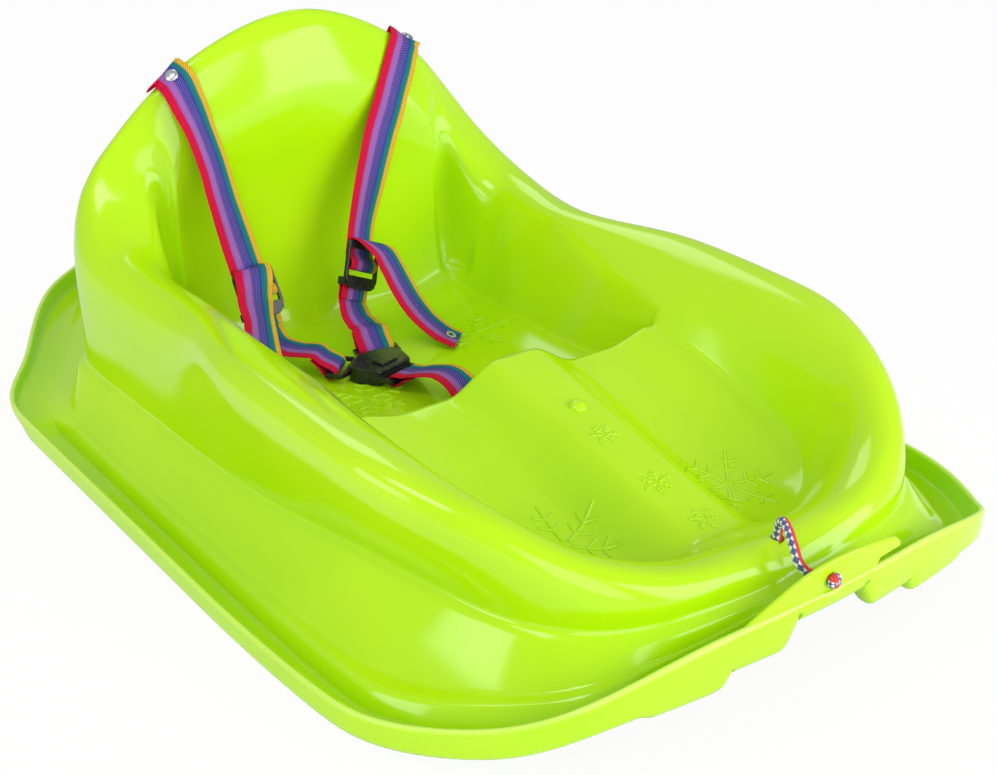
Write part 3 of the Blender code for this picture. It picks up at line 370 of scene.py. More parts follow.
@dataclass(frozen=True)
class RainbowWeave:
    """Flat woven webbing: colour bands of warp threads with the weft showing between them, and painted shade
    in the valleys of the weave.
    """

    name: str = "rainbow_weave"
    warps: int = 25
    weft: float = 0.0014
    bands: tuple[tuple[float, Colour], ...] = (
        (0.000, (0.86, 0.002, 0.030)), (0.205, (0.84, 0.003, 0.045)), (0.225, (0.42, 0.130, 0.52)),
        (0.400, (0.38, 0.120, 0.56)), (0.430, (0.055, 0.030, 0.34)), (0.670, (0.020, 0.042, 0.38)),
        (0.700, (0.006, 0.200, 0.290)), (0.845, (0.004, 0.300, 0.230)), (0.865, (0.98, 0.56, 0.002)),
        (1.000, (1.00, 0.60, 0.004)))

    def make(self) -> bpy.types.Material:
        """Builds the material."""
        p = Paint(self.name)
        across, along = p.uv()
        ribs = across.wave(1.0 / self.warps)
        cross = (along + across * (self.weft * 0.5 * self.warps)).wave(self.weft)
        place = p.place()
        fuzz = p.noise(place, 1500.0, 3.0)
        worn = p.noise(place, 45.0, 3.0)
        base = p.node("ShaderNodeValToRGB", {"stops": self.bands}, {0: across + (fuzz - 0.5) * 0.02})
        pair = (across * self.warps * 0.5).math("FRACT") > 0.5
        middle = across.step(0.22, 0.30) * (1 - across.step(0.60, 0.70))
        heather = p.mix(pair * middle * 0.12, base, (0.50, 0.30, 0.80))
        pick = cross.step(0.62, 0.95) * (1 - ribs.step(0.25, 0.80))
        # Painted shade: the valleys between the warp ribs and between the weft crossings are darkened towards
        # near black.
        shaded = p.mix(0.46 * (1 - ribs.step(0.0, 0.7)) + 0.30 * (1 - cross), heather, (0.020, 0.002, 0.05))
        light = p.mix((pick * 0.30 + (worn - 0.5) * 0.06) * (middle * 0.9 + 0.1), shaded, (0.84, 0.70, 0.90))
        relief = ribs * 0.55 + cross * 0.35 + fuzz * 0.10
        return p.finish(Base_Color=light, Roughness=0.72 + fuzz * 0.15, Specular_IOR_Level=0.12,
                        Normal=p.bump(relief, 0.85, 0.00035))


@dataclass(frozen=True)
class BraidedYarn:
    """Braided cord: red yarns on one half, white and blue checks on the other, with painted shade in the
    grooves between the strands.
    """

    name: str = "braided_yarn"
    strands: int = 4
    shift: float = 0.14
    red: Colour = (0.78, 0.020, 0.018)
    white: Colour = (0.82, 0.84, 0.86)
    blue: Colour = (0.030, 0.090, 0.300)

    def make(self) -> bpy.types.Material:
        """Builds the material; the UV map holds turns round the cord and crossings along it."""
        p = Paint(self.name)
        turn, along = p.uv()
        one, other = turn * self.strands + along, turn * self.strands - along
        check = (one.math("FLOOR") + other.math("FLOOR")) % 2.0
        pale = p.mix(check > 0.5, self.white, self.blue)
        side = ((turn + self.shift) * tau).math("COSINE") > -0.05
        colour = p.mix(side, pale, self.red)
        first, second = ((yarn.math("FRACT") - 0.5).math("ABSOLUTE") for yarn in (one, other))
        seam = first.math("MAXIMUM", second)
        fibre = p.noise(p.place(), 2200.0, 3.0)
        # Painted shade: the grooves between the strands are darkened towards near black.
        groove_shaded = p.mix(seam.step(0.36, 0.5) * 0.65, colour, (0.05, 0.01, 0.015))
        shade = p.mix(fibre.step(0.40, 0.75) * 0.22, groove_shaded, (0.9, 0.75, 0.75))
        strands = (one * 5.0).wave(1.0) * 0.5 + fibre * 0.5
        return p.finish(Base_Color=shade, Roughness=0.70 + fibre * 0.15, Specular_IOR_Level=0.3,
                        Normal=p.bump(strands, 0.5, 0.0003))


@dataclass(frozen=True)
class StudioFloor:
    """Pale floor that the camera sees as nearly white, with the object's soft shadow."""

    name: str = "studio_floor"
    colour: Colour = (0.93, 0.93, 0.92)
    glow: float = 0.93

    def make(self) -> bpy.types.Material:
        """Builds the material."""
        p = Paint(self.name)
        paper = p.noise(p.place(), 60.0, 3.0)
        tint = p.mix(paper * 0.3, self.colour, (0.90, 0.90, 0.90))
        plain = p.node("ShaderNodeBsdfPrincipled", inputs={"Base Color": tint, "Roughness": 0.9})
        white = p.node("ShaderNodeEmission", inputs={"Color": (1.0, 1.0, 1.0, 1.0), "Strength": 1.0})
        seen = p.node("ShaderNodeLightPath", output="Is Camera Ray")
        mixed = p.node("ShaderNodeMixShader", inputs={0: seen * self.glow, 1: plain, 2: white})
        p.tree.links.new(mixed.socket, p.out.inputs["Surface"])
        return p.material


@dataclass
class Finishes:
    """The materials of the sled."""

    plastic: bpy.types.Material = field(default_factory=lambda: MouldedPlastic().make())
    black: bpy.types.Material = field(default_factory=lambda: BlackPlastic().make())
    steel: bpy.types.Material = field(default_factory=lambda: PlatedSteel().make())
    weave: bpy.types.Material = field(default_factory=lambda: RainbowWeave().make())
    yarn: bpy.types.Material = field(default_factory=lambda: BraidedYarn().make())


# Objects and Geometry Nodes

def new_object(name: str, data: bpy.types.ID) -> bpy.types.Object:
    """An object in the scene."""
    obj = bpy.data.objects.new(name, data)
    bpy.context.scene.collection.objects.link(obj)
    return obj


def evaluated(obj: bpy.types.Object) -> bpy.types.Mesh:
    """A plain mesh of an object with its modifiers applied."""
    graph = bpy.context.evaluated_depsgraph_get()
    return bpy.data.meshes.new_from_object(obj.evaluated_get(graph), depsgraph=graph)


class Maker(Recipe):
    """A Geometry Nodes tree with named inputs."""

    def __init__(self, name: str, sockets: dict[str, str]) -> None:
        """Starts the tree.

        Args:
            name: Its name.
            sockets: Socket types by input name.
        """
        super().__init__(bpy.data.node_groups.new(name, "GeometryNodeTree"))
        face = self.tree.interface
        face.new_socket("Geometry", in_out="OUTPUT", socket_type="NodeSocketGeometry")
        face.new_socket("Geometry", in_out="INPUT", socket_type="NodeSocketGeometry")
        self.ids = {}
        for label, kind in sockets.items():
            self.ids[label] = face.new_socket(label, in_out="INPUT", socket_type=kind).identifier
        self.group = self.tree.nodes.new("NodeGroupInput")

    def given(self, name: str) -> Value:
        """One of the tree's inputs."""
        return Value(self, self.group.outputs[name])

    def end(self, geometry: Value) -> None:
        """Realizes the instances, sets the material and closes the tree."""
        real = self.node("GeometryNodeRealizeInstances", inputs={"Geometry": geometry})
        shaded = self.node("GeometryNodeSetShadeSmooth", inputs={"Geometry": real, "Shade Smooth": True})
        inputs = {"Geometry": shaded, "Material": self.given("Material")}
        done = self.node("GeometryNodeSetMaterial", inputs=inputs)
        out = self.tree.nodes.new("NodeGroupOutput")
        self.tree.links.new(done.socket, out.inputs[0])

    def run(self, mesh: bpy.types.Mesh, values: dict[str, object]) -> bpy.types.Mesh:
        """Feeds a mesh through the tree.

        Args:
            mesh: What the tree works on.
            values: Its inputs by name.

        Returns:
            The plain mesh that comes out.
        """
        obj = new_object(self.tree.name + "_source", mesh)
        modifier = obj.modifiers.new("maker", "NODES")
        modifier.node_group = self.tree
        for name, value in values.items():
            modifier[self.ids[name]] = value
        made = evaluated(obj)
        bpy.data.objects.remove(obj)
        return made


def stitch_maker() -> Maker:
    """Threads laid along the edges of a mesh: Pitch, Length, Thread and Material."""
    sizes = {"Pitch": "NodeSocketFloat", "Length": "NodeSocketFloat", "Thread": "NodeSocketFloat"}
    m = Maker("stitches", {**sizes, "Material": "NodeSocketMaterial"})
    line = m.node("GeometryNodeMeshToCurve", inputs={"Mesh": m.given("Geometry")})
    inputs = {"Curve": line, "Length": m.given("Pitch")}
    spaced = m.node("GeometryNodeResampleCurve", {"mode": "LENGTH"}, inputs)
    inputs = {"Segments": 8, "Rings": 6, "Radius": m.given("Thread") * 0.5}
    ball = m.node("GeometryNodeMeshUVSphere", inputs=inputs)
    size = m.node("ShaderNodeCombineXYZ", inputs={0: 1.0, 1: 1.0, 2: m.given("Length") / m.given("Thread")})
    thread = m.node("GeometryNodeTransform", inputs={"Geometry": ball, "Scale": size})
    way = m.node("GeometryNodeInputTangent")
    turn = m.node("FunctionNodeAlignRotationToVector", {"axis": "Z"}, {"Vector": way})
    inputs = {"Points": spaced, "Instance": thread, "Rotation": turn}
    m.end(m.node("GeometryNodeInstanceOnPoints", inputs=inputs))
    return m


def flake_maker() -> Maker:
    """A six-armed star of half-round ridges: Size, Ridge and Material."""
    sizes = {"Size": "NodeSocketFloat", "Ridge": "NodeSocketFloat"}
    m = Maker("frost_star", {**sizes, "Material": "NodeSocketMaterial"})
    lines = [((0.0, 0.12, 0.0), (0.0, 1.0, 0.0))]
    for root, reach in ((0.40, 0.26), (0.66, 0.24)):
        for side in (-1, 1):
            tip = (side * reach * sin(pi / 3), root + reach * cos(pi / 3), 0.0)
            lines.append(((0.0, root, 0.0), tip))
    arm = m.tree.nodes.new("GeometryNodeJoinGeometry")
    for start, end in lines:
        line = m.node("GeometryNodeCurvePrimitiveLine", inputs={"Start": start, "End": end})
        m.tree.links.new(line.socket, arm.inputs[0])
    size = m.node("ShaderNodeCombineXYZ", inputs={0: m.given("Size"), 1: m.given("Size"), 2: 1.0})
    sized = m.node("GeometryNodeTransform", inputs={"Geometry": Value(m, arm.outputs[0]), "Scale": size})
    six = m.node("GeometryNodePoints", inputs={"Count": 6})
    turn = m.node("ShaderNodeCombineXYZ", inputs={2: m.node("GeometryNodeInputIndex") * (tau / 6)})
    star = m.node("GeometryNodeInstanceOnPoints", inputs={"Points": six, "Instance": sized, "Rotation": turn})
    real = m.node("GeometryNodeRealizeInstances", inputs={"Geometry": star})
    fine = m.node("GeometryNodeResampleCurve", {"mode": "LENGTH"}, {"Curve": real, "Length": 0.0012})
    inputs = {"Resolution": 8, "Radius": m.given("Ridge") * 0.5}
    profile = m.node("GeometryNodeCurvePrimitiveCircle", inputs=inputs)
    inputs = {"Curve": fine, "Profile Curve": profile, "Fill Caps": True}
    m.end(m.node("GeometryNodeCurveToMesh", inputs=inputs))
    return m


def add_piece(name: str, mesh: bpy.types.Mesh, finish: bpy.types.Material | None) -> bpy.types.Object:
    """Links a finished mesh as a piece.

    Args:
        name: The piece's name.
        mesh: Its mesh, in place.
        finish: Its material, or None where the mesh has one.

    Returns:
        The object, at the origin.
    """
    obj = new_object(name, mesh)
    if finish is not None:
        mesh.materials.clear()
        mesh.materials.append(finish)
    mesh.shade_smooth()
    return obj


def mesh_of(name: str, verts: Points | Sequence, faces: Sequence) -> bpy.types.Mesh:
    """A mesh from points and faces."""
    mesh = bpy.data.meshes.new(name)
    mesh.from_pydata([tuple(v) for v in verts], [], [tuple(f) for f in faces])
    mesh.validate()
    mesh.update()
    return mesh


def mesh_from(bm: bmesh.types.BMesh, name: str, outwards: bool = True) -> bpy.types.Mesh:
    """Turns a bmesh into a mesh and frees it.

    Args:
        bm: The bmesh.
        name: The mesh's name.
        outwards: Whether its normals are first worked out anew.

    Returns:
        The mesh.
    """
    if outwards:
        bmesh.ops.recalc_face_normals(bm, faces=bm.faces[:])
    mesh = bpy.data.meshes.new(name)
    bm.to_mesh(mesh)
    bm.free()
    return mesh


def skin(bm: bmesh.types.BMesh, layer: bmesh.types.BMLayerItem, rings: list[list[bmesh.types.BMVert]],
         uv: Callable[[int, int], tuple[float, float]]) -> None:
    """Faces between closed rings, with a UV map.

    Args:
        bm: The bmesh that holds the rings.
        layer: Its UV layer.
        rings: Rings of as many points each.
        uv: Place on the map of a ring's corner; the corner after the last is the first again.
    """
    size = len(rings[0])
    for k in range(len(rings) - 1):
        for j in range(size):
            corners = ((k, j), (k, j + 1), (k + 1, j + 1), (k + 1, j))
            face = bm.faces.new([rings[r][c % size] for r, c in corners])
            for loop, (r, c) in zip(face.loops, corners):
                loop[layer].uv = uv(r, c)


# The moulded tub

RINGS: dict[str, tuple[tuple[float, float, float], ...]] = {
    "lip": ((0, -376, 57), (70, -371.5, 54.5), (132, -362, 44), (175, -329, 26), (212, -258, 16.6),
            (217.5, -140, 16), (217.5, 0, 16), (217.5, 128, 16), (178, 215, 18), (111, 323, 25),
            (0, 376, 30)),
    "base": ((0, -376, 48.5), (70, -371.5, 32), (132, -362, 27), (175, -329, 10.5), (212, -258, 3.2),
             (217.5, -140, 3), (217.5, 0, 3), (217.5, 127, 9), (178, 215, 9), (111, 323, 12), (0, 376, 17)),
    "channel": ((0, -366, 49), (70, -361, 33), (122, -352, 28), (159, -321, 11), (196, -249, 3.2),
                (199, -140, 3), (199, 0, 3), (198, 122, 9), (161, 190, 10), (97, 303, 14), (0, 354, 18)),
    "foot": ((0, -362, 51), (69, -354, 42), (119, -346, 35), (153, -316, 23), (191, -245, 13),
             (193, -140, 12), (193, 0, 12), (192, 100, 13), (152, 172, 17), (89, 290, 21), (0, 341, 26)),
    "ledge": ((0, -357, 52), (67, -351, 49), (109, -334, 47), (137, -300, 48), (158, -205, 46),
              (168, -110, 39), (172, 0, 36), (173, 120, 36), (139, 174, 38), (76, 272, 41), (0, 318, 45)),
    "ledge_inner": ((0, -353, 54), (64, -346, 52), (106, -330, 50), (134, -298, 51), (153, -205, 49),
                    (163, -110, 42), (167, 0, 39), (168, 117, 39), (135, 170, 42), (73, 266, 47),
                    (0, 311, 51)),
    "wall": ((0, -349, 59), (60, -345, 61), (107, -328, 67), (142, -289, 76), (168, -207, 82),
             (172, -105, 82), (164, -2, 79), (171, 106, 84), (146, 156, 104), (90, 195, 137), (0, 206, 155)),
    "shoulder": ((0, -343, 64), (52, -340, 67), (105, -321, 79), (143, -276, 101), (170, -202, 114),
                 (171, -100, 117), (154, -5, 114), (163, 84, 125), (144, 130, 165), (100, 133, 207),
                 (0, 127, 245)),
    "crest": ((0, -334, 66), (48, -331, 67.5), (101, -311, 80.5), (134, -268, 102), (154, -196, 115),
              (150, -98, 117), (140, 5, 116), (148, 78, 126), (131, 124, 171), (95, 122, 217), (0, 115, 255)),
    "opening": ((0, -322, 62), (45, -317, 61.5), (97, -299, 74), (127, -259, 95), (134, -191, 104),
                (125, -90, 102), (126, 22, 105), (131, 66, 114), (116, 112, 167), (84, 112, 210),
                (0, 106, 244)),
    "inner": ((0, -309, 57), (43, -306, 51), (93, -288, 58), (119, -252, 72), (124, -190, 84),
              (117, -112, 92), (116, 15, 72), (119, 62, 76), (110, 103, 109), (72, 105, 136), (0, 101, 146)),
    "pan": ((0, -298, 0), (40, -294, 0), (86, -279, 0), (110, -245, 0), (115, -190, 0),
            (111, -112, 0), (108, -2, 0), (110, 54, 0), (102, 96, 0), (58, 98, 0), (0, 96, 0)),
}


@dataclass(frozen=True)
class TubFloor:
    """Heights of the seat pan, the bolster, the footwells and the hump between the legs."""

    seat: float = 0.034
    footwell: float = 0.036
    footwell_y: float = -0.262
    bolster_y: float = -0.122
    bolster_face: float = 0.010
    bolster_side: float = 0.073
    crest_rear: float = 0.089
    crest_front_y: float = -0.291
    crest_front: float = 0.052
    hump_top: float = 0.012
    hump_half: float = 0.048
    fillet: float = 0.008

    def height(self, x: Points, y: Points) -> Points:
        """Heights over points.

        Args:
            x: Their places across.
            y: Their places along.

        Returns:
            The heights.
        """
        x, y = np.asarray(x, float), np.asarray(y, float)
        edge = smooth(0.075, 0.115, np.abs(x)) * self.fillet
        rise = np.clip((y - self.footwell_y) / (self.bolster_y - self.footwell_y), 0.0, 1.0)
        share = 0.6 * rise + 0.4 * smooth(0.0, 1.0, rise)
        feet = self.footwell + (self.bolster_side - self.footwell) * share
        slope = (self.crest_rear - self.crest_front) / (self.bolster_y - self.crest_front_y)
        crest = self.crest_front + slope * (y - self.crest_front_y)
        hump = 1 - smooth(self.hump_top, self.hump_half, np.abs(x))
        front = feet + (crest - feet) * hump + edge
        face = smooth(self.bolster_y, self.bolster_y + self.bolster_face, y)
        seat = self.seat + edge + self.fillet * smooth(0.06, 0.10, y)
        return front * (1 - face) + seat * face


@dataclass
class Tub:
    """The moulded sheet of the sled, from its lip over channel, wall and rim down to seat and footwells."""

    sheet: float = 0.003
    lip_draft: float = 0.0005
    floor: TubFloor = field(default_factory=TubFloor)
    front: int = 53
    side: int = 78
    arch_base: float = 0.0485
    runner_base: float = 0.0345
    rib_base: float = 0.0265
    arch_step: tuple[float, float] = (0.34, 0.48)
    runner_step: tuple[float, float] = (0.90, 1.02)
    rib_step: tuple[float, float] = (1.57, 1.72)
    level_start: tuple[float, float] = (4.0, 4.25)
    level_end: tuple[float, float] = (6.82, 7.0)
    cord_hole: tuple[float, float] = (-0.336, 0.0034)
    brim: float = 0.0007
    fold_depth: float = 0.0058
    groove_x: float = -0.004
    groove_depth: float = 0.0014
    shelf_share: tuple[float, float, float] = (0.26, 0.26, 0.05)
    upper: BVHTree | None = None

    def shares(self) -> Points:
        """Places of the stations along one side, from 0 at the nose to 10 at the tail."""
        fine = [0.355, 0.375, 0.395, 0.42, 0.44, 0.46, 0.475, 0.92, 0.94, 0.96, 0.98, 1.00,
                1.59, 1.61, 1.63, 1.65, 1.675, 1.70]
        front = np.sort(np.concatenate([np.linspace(0, 2.5, self.front - len(fine) + 1), fine]))
        extra = [4.76, 4.80, 4.84, 4.88, 4.92, 4.96, 6.84, 6.88, 6.92, 6.96]
        side = np.sort(np.concatenate([np.linspace(2.5, 7.5, self.side - len(extra) + 1), extra]))
        rear = np.linspace(7.5, 10.0, self.front + 1)
        return np.concatenate([front, side[1:], rear[1:]])

    @staticmethod
    def dense_ring(name: str, softness: float) -> Points:
        """A ring at 400 steps a side, smoothed along its length.

        Args:
            name: Which ring.
            softness: Spread of the smoothing in steps.

        Returns:
            The right side's points, nose to tail.
        """
        side = np.array(RINGS[name], float) * MM
        flip = np.array([-1.0, 1.0, 1.0])
        pts = np.concatenate([[side[1] * flip], side, [side[-2] * flip]])
        t = np.linspace(0.0, 10.0, 401)
        i = np.minimum(t.astype(int), len(pts) - 4)
        f = (t - i)[:, None]
        a, b, c, d = (pts[i + k] for k in range(4))

        def slope(before: Points, after: Points) -> Points:
            """Slope at a point that doesn't overshoot it."""
            total = np.where(before * after > 0, before + after, 1.0)
            return np.where(before * after > 0, 2 * before * after / total, 0.0)

        start, end, rise = slope(b - a, c - b), slope(c - b, d - c), c - b
        right = b + f * start + f ** 2 * (3 * rise - 2 * start - end) + f ** 3 * (start + end - 2 * rise)
        loop = np.concatenate([right, right[-2:0:-1] * flip])
        reach = int(4 * softness) + 1
        kernel = np.exp(-0.5 * (np.arange(-reach, reach + 1) / softness) ** 2)
        kernel /= kernel.sum()
        wide = np.concatenate([loop[-reach:], loop, loop[:reach]])
        even = np.stack([np.convolve(wide[:, k], kernel, "valid") for k in range(3)], 1)
        return even[:401]

    def ring(self, name: str, shares: Points, softness: float = 5.0, inset: float = 0.0) -> Points:
        """A closed ring at the stations, moved inwards in plan where asked."""
        right = self.dense_ring(name, softness)
        if name == "pan":
            right[:, 2] = self.floor.height(right[:, 0], right[:, 1])
        if inset:
            along = np.gradient(right, axis=0)
            along[[0, -1], 1] = 0.0
            normal = np.stack([-along[:, 1], along[:, 0], 0 * along[:, 0]], 1)
            right = right + normal / np.linalg.norm(normal, axis=1)[:, None] * inset
        t = np.linspace(0.0, 10.0, 401)
        side = np.stack([np.interp(shares, t, right[:, k]) for k in range(3)], 1)
        side[[0, -1], 0] = 0.0
        return np.concatenate([side, side[-2:0:-1] * np.array([-1.0, 1.0, 1.0])])

    def underside(self, points: Points, shares: Points) -> Points:
        """The ring with the arch, runners and ribs of the nose and the level part that the sled stands on."""
        t = np.concatenate([shares, shares[-2:0:-1]])
        z = points[:, 2]
        for height, step in ((self.rib_base, self.rib_step), (self.runner_base, self.runner_step),
                             (self.arch_base, self.arch_step)):
            z = z + (height - z) * (1 - smooth(*step, t))
        level = smooth(*self.level_start, t) * (1 - smooth(*self.level_end, t))
        points[:, 2] = z + (self.sheet - z) * level
        return points

    @staticmethod
    def corner(before: Points, at: Points, after: Points, radius: float) -> list[Points]:
        """Rows that round a corner."""
        rows = []
        to_before, to_after = before - at, after - at
        lengths = [np.linalg.norm(v, axis=1)[:, None] for v in (to_before, to_after)]
        one, other = (v / n * np.minimum(radius, 0.45 * n) for v, n in zip((to_before, to_after), lengths))
        for f in (0.0, 0.25, 0.5, 0.75, 1.0):
            rows.append(at + one * (1 - f) ** 2 + other * f * f)
        return rows

    @staticmethod
    def spline_rows(knots: list[Points], counts: Sequence[int]) -> list[Points]:
        """Rows on natural cubic splines through the knots of every station.

        Args:
            knots: One array of points for each knot.
            counts: Rows to make between each two knots.

        Returns:
            The rows, without the first knot and with the last.
        """
        p = np.stack(knots, 1)
        h = np.maximum(np.linalg.norm(np.diff(p, axis=1), axis=2), 1e-5)
        n = p.shape[1]
        left = np.zeros((len(p), n, n))
        right = np.zeros_like(p)
        left[:, 0, 0] = left[:, -1, -1] = 1.0
        for k in range(1, n - 1):
            left[:, k, k - 1], left[:, k, k + 1] = h[:, k - 1], h[:, k]
            left[:, k, k] = 2 * (h[:, k - 1] + h[:, k])
            rise = (p[:, k + 1] - p[:, k]) / h[:, k, None] - (p[:, k] - p[:, k - 1]) / h[:, k - 1, None]
            right[:, k] = 6 * rise
        bend = np.linalg.solve(left, right)
        rows = []
        for k, count in enumerate(counts):
            step = h[:, k, None]
            for j in range(1, count + 1):
                f = j / count
                cubic = ((1 - f) ** 3 - (1 - f)) * bend[:, k] + (f ** 3 - f) * bend[:, k + 1]
                rows.append(p[:, k] * (1 - f) + p[:, k + 1] * f + cubic * step * step / 6)
        return rows

    def rows(self, shares: Points) -> list[Points]:
        """Rows of the sheet's upper face from the lip to the pan."""
        lip = self.ring("lip", shares, 4.0, self.sheet)
        base = self.underside(self.ring("base", shares, 4.0, self.sheet + self.lip_draft), shares)
        channel = self.underside(self.ring("channel", shares, 4.0), shares)
        foot, ledge, step = (self.ring(k, shares, 5.0) for k in ("foot", "ledge", "ledge_inner"))
        upper = [self.ring(k, shares, 6.5) for k in ("wall", "shoulder", "crest", "opening", "inner")]
        pan = self.ring("pan", shares, 3.0)
        rows = [lip, lip + (base - lip) * 0.12, lip + (base - lip) * 0.4]
        rows += self.corner(lip, base, channel, 0.0030)
        shelf = foot + (ledge - foot) * np.array(self.shelf_share)
        for corner, count in (((base, channel, foot, 0.0020), 1), ((channel, foot, shelf, 0.0022), 1),
                              ((foot, shelf, ledge, 0.0018), 3), ((shelf, ledge, step, 0.0022), 1),
                              ((ledge, step, upper[0], 0.0026), 1)):
            bend = self.corner(*corner)
            rows += [rows[-1] + (bend[0] - rows[-1]) * (k / (count + 1)) for k in range(1, count + 1)]
            rows += bend
        rows += self.spline_rows([rows[-1], *upper, pan], (6, 7, 10, 9, 8, 9))
        return rows

    def patch(self, edge: Points, shares: Points) -> Points:
        """Rows of points that fill the pan ring.

        Args:
            edge: The pan ring.
            shares: Places of the stations.

        Returns:
            An array of rows and columns of points; its border is the ring.
        """
        n, m, total = 2 * self.front, self.side, len(edge)
        low = edge[[(k - self.front) % total for k in range(n + 1)]]
        right = edge[[self.front + k for k in range(m + 1)]]
        high = edge[[(-self.front - m - k) % total for k in range(n + 1)]]
        left = edge[[(-self.front - k) % total for k in range(m + 1)]]
        u = np.linspace(0, 1, n + 1)
        for line in (low, high):
            u = u + (line[:, 0] - line[0, 0]) / (line[-1, 0] - line[0, 0])
        u = (u / 3)[None, :, None]
        v = ((right[:, 1] - right[0, 1]) / (right[-1, 1] - right[0, 1]))[:, None, None]
        sides = low[None] * (1 - v) + high[None] * v + left[:, None] * (1 - u) + right[:, None] * u
        ends = (low[0] * (1 - u) + low[-1] * u) * (1 - v) + (high[0] * (1 - u) + high[-1] * u) * v
        grid = sides - ends
        t = shares[self.front:self.front + m + 1]
        straight = (smooth(2.6, 4.2, t) * (1 - smooth(6.2, 7.4, t)))[:, None]
        grid[..., 1] += (right[:, None, 1] - grid[..., 1]) * straight
        grid[..., 2] = self.floor.height(grid[..., 0], grid[..., 1])
        grid[0], grid[-1], grid[:, 0], grid[:, -1] = low, high, left, right
        return grid

    def details(self, points: Points, normals: Points) -> Points:
        """The panel folds in the back and the groove under the cord's hole."""
        x, y, z = points.T
        inside = normals[:, 1] < -0.2
        fold = smooth(0.1020, 0.1040, np.abs(x)) * (1 - smooth(0.1075, 0.1230, np.abs(x)))
        fold *= smooth(0.050, 0.056, z) * (1 - smooth(0.150, 0.190, z)) * inside * (y > 0.05)
        moved = points - normals * (self.fold_depth * fold)[:, None]
        groove = np.exp(-((x - self.groove_x) / 0.0045) ** 2) * (y < -0.33)
        groove = groove * smooth(0.050, 0.056, z) * (z < 0.0655)
        return moved - normals * (self.groove_depth * groove)[:, None]

    def surface(self) -> tuple[Points, np.ndarray, int]:
        """The upper face.

        Returns:
            Its points, its faces and the number of stations.
        """
        shares = self.shares()
        rows = self.rows(shares)
        count, last = len(rows[0]), len(rows) - 1
        verts = [np.concatenate(rows)]
        faces = []
        nxt = (np.arange(count) + 1) % count
        here = np.arange(count)
        for r in range(last):
            low, high = r * count, (r + 1) * count
            faces.append(np.stack([low + here, low + nxt, high + nxt, high + here], 1))
        grid = self.patch(rows[-1], shares)
        n, m = 2 * self.front, self.side
        index = np.zeros((m + 1, n + 1), int)
        index[1:-1, 1:-1] = (last + 1) * count + np.arange((m - 1) * (n - 1)).reshape(m - 1, n - 1)
        index[0] = [last * count + (k - self.front) % count for k in range(n + 1)]
        index[-1] = [last * count + (-self.front - m - k) % count for k in range(n + 1)]
        index[:, 0] = [last * count + (-self.front - k) % count for k in range(m + 1)]
        index[:, -1] = [last * count + self.front + k for k in range(m + 1)]
        verts.append(grid[1:-1, 1:-1].reshape(-1, 3))
        quads = np.stack([index[:-1, :-1], index[:-1, 1:], index[1:, 1:], index[1:, :-1]], -1)
        faces.append(quads.reshape(-1, 4))
        points, quads = np.concatenate(verts), np.concatenate(faces)
        points = self.soften(points, quads, count, last)
        return self.details(points, self.normals(points, quads)), quads, count

    def soften(self, points: Points, quads: np.ndarray, count: int, last: int) -> Points:
        """Rounds the foot of the inner wall into the floor."""
        weight = np.zeros(len(points))
        for back, share in ((4, 0.15), (3, 0.45), (2, 0.8), (1, 1.0), (0, 1.0)):
            weight[(last - back) * count:(last - back + 1) * count] = share
        pairs = np.concatenate([quads[:, [0, 1]], quads[:, [1, 2]], quads[:, [2, 3]], quads[:, [3, 0]]])
        pairs = np.concatenate([pairs, pairs[:, ::-1]])
        degree = np.bincount(pairs[:, 0], minlength=len(points))[:, None]
        for _ in range(3):
            near = np.zeros(len(points))
            np.maximum.at(near, pairs[:, 0], weight[pairs[:, 1]])
            weight = np.maximum(weight, near * 0.7)
        for _ in range(5):
            total = np.zeros_like(points)
            np.add.at(total, pairs[:, 0], points[pairs[:, 1]])
            points = points + (total / degree - points) * (0.6 * weight)[:, None]
        return points

    @staticmethod
    def normals(points: Points, quads: np.ndarray) -> Points:
        """Normals at the points."""
        cross = np.cross(points[quads[:, 2]] - points[quads[:, 0]], points[quads[:, 3]] - points[quads[:, 1]])
        total = np.zeros_like(points)
        for k in range(4):
            np.add.at(total, quads[:, k], cross)
        return total / np.maximum(np.linalg.norm(total, axis=1), 1e-12)[:, None]

    def build(self, finish: bpy.types.Material) -> bpy.types.Object:
        """The closed sheet with its hole for the cord.

        Args:
            finish: The plastic.

        Returns:
            The piece.
        """
        points, quads, count = self.surface()
        normals = self.normals(points, quads)
        self.upper = BVHTree.FromPolygons([Vector(p) for p in points], quads.tolist())
        under = points - normals * self.sheet
        under[:, 2] = np.maximum(under[:, 2], 0.0)
        edge = (points[:count] + under[:count]) / 2
        edge[:, 2] += self.brim
        total = len(points)
        here, nxt = np.arange(count), (np.arange(count) + 1) % count
        brim = 2 * total + here
        rim = [np.stack([here, brim, brim[nxt], nxt], 1),
               np.stack([brim, total + here, total + nxt, brim[nxt]], 1)]
        faces = np.concatenate([quads, quads[:, ::-1] + total, *rim])
        mesh = mesh_of("tub_shell", np.concatenate([points, under, edge]), faces)
        trimmed = mesh.attributes.new("trimmed", "FLOAT", "POINT")
        share = np.zeros(2 * total + count, np.float32)
        share[:count], share[total:total + count], share[2 * total:] = 0.8, 0.8, 1.0
        trimmed.data.foreach_set("value", share)
        obj = add_piece("tub_shell", mesh, finish)
        self.drill(obj, (0, self.cord_hole[0], 0.060), (0, 0, 1), self.cord_hole[1])
        obj.data.shade_smooth()
        return obj

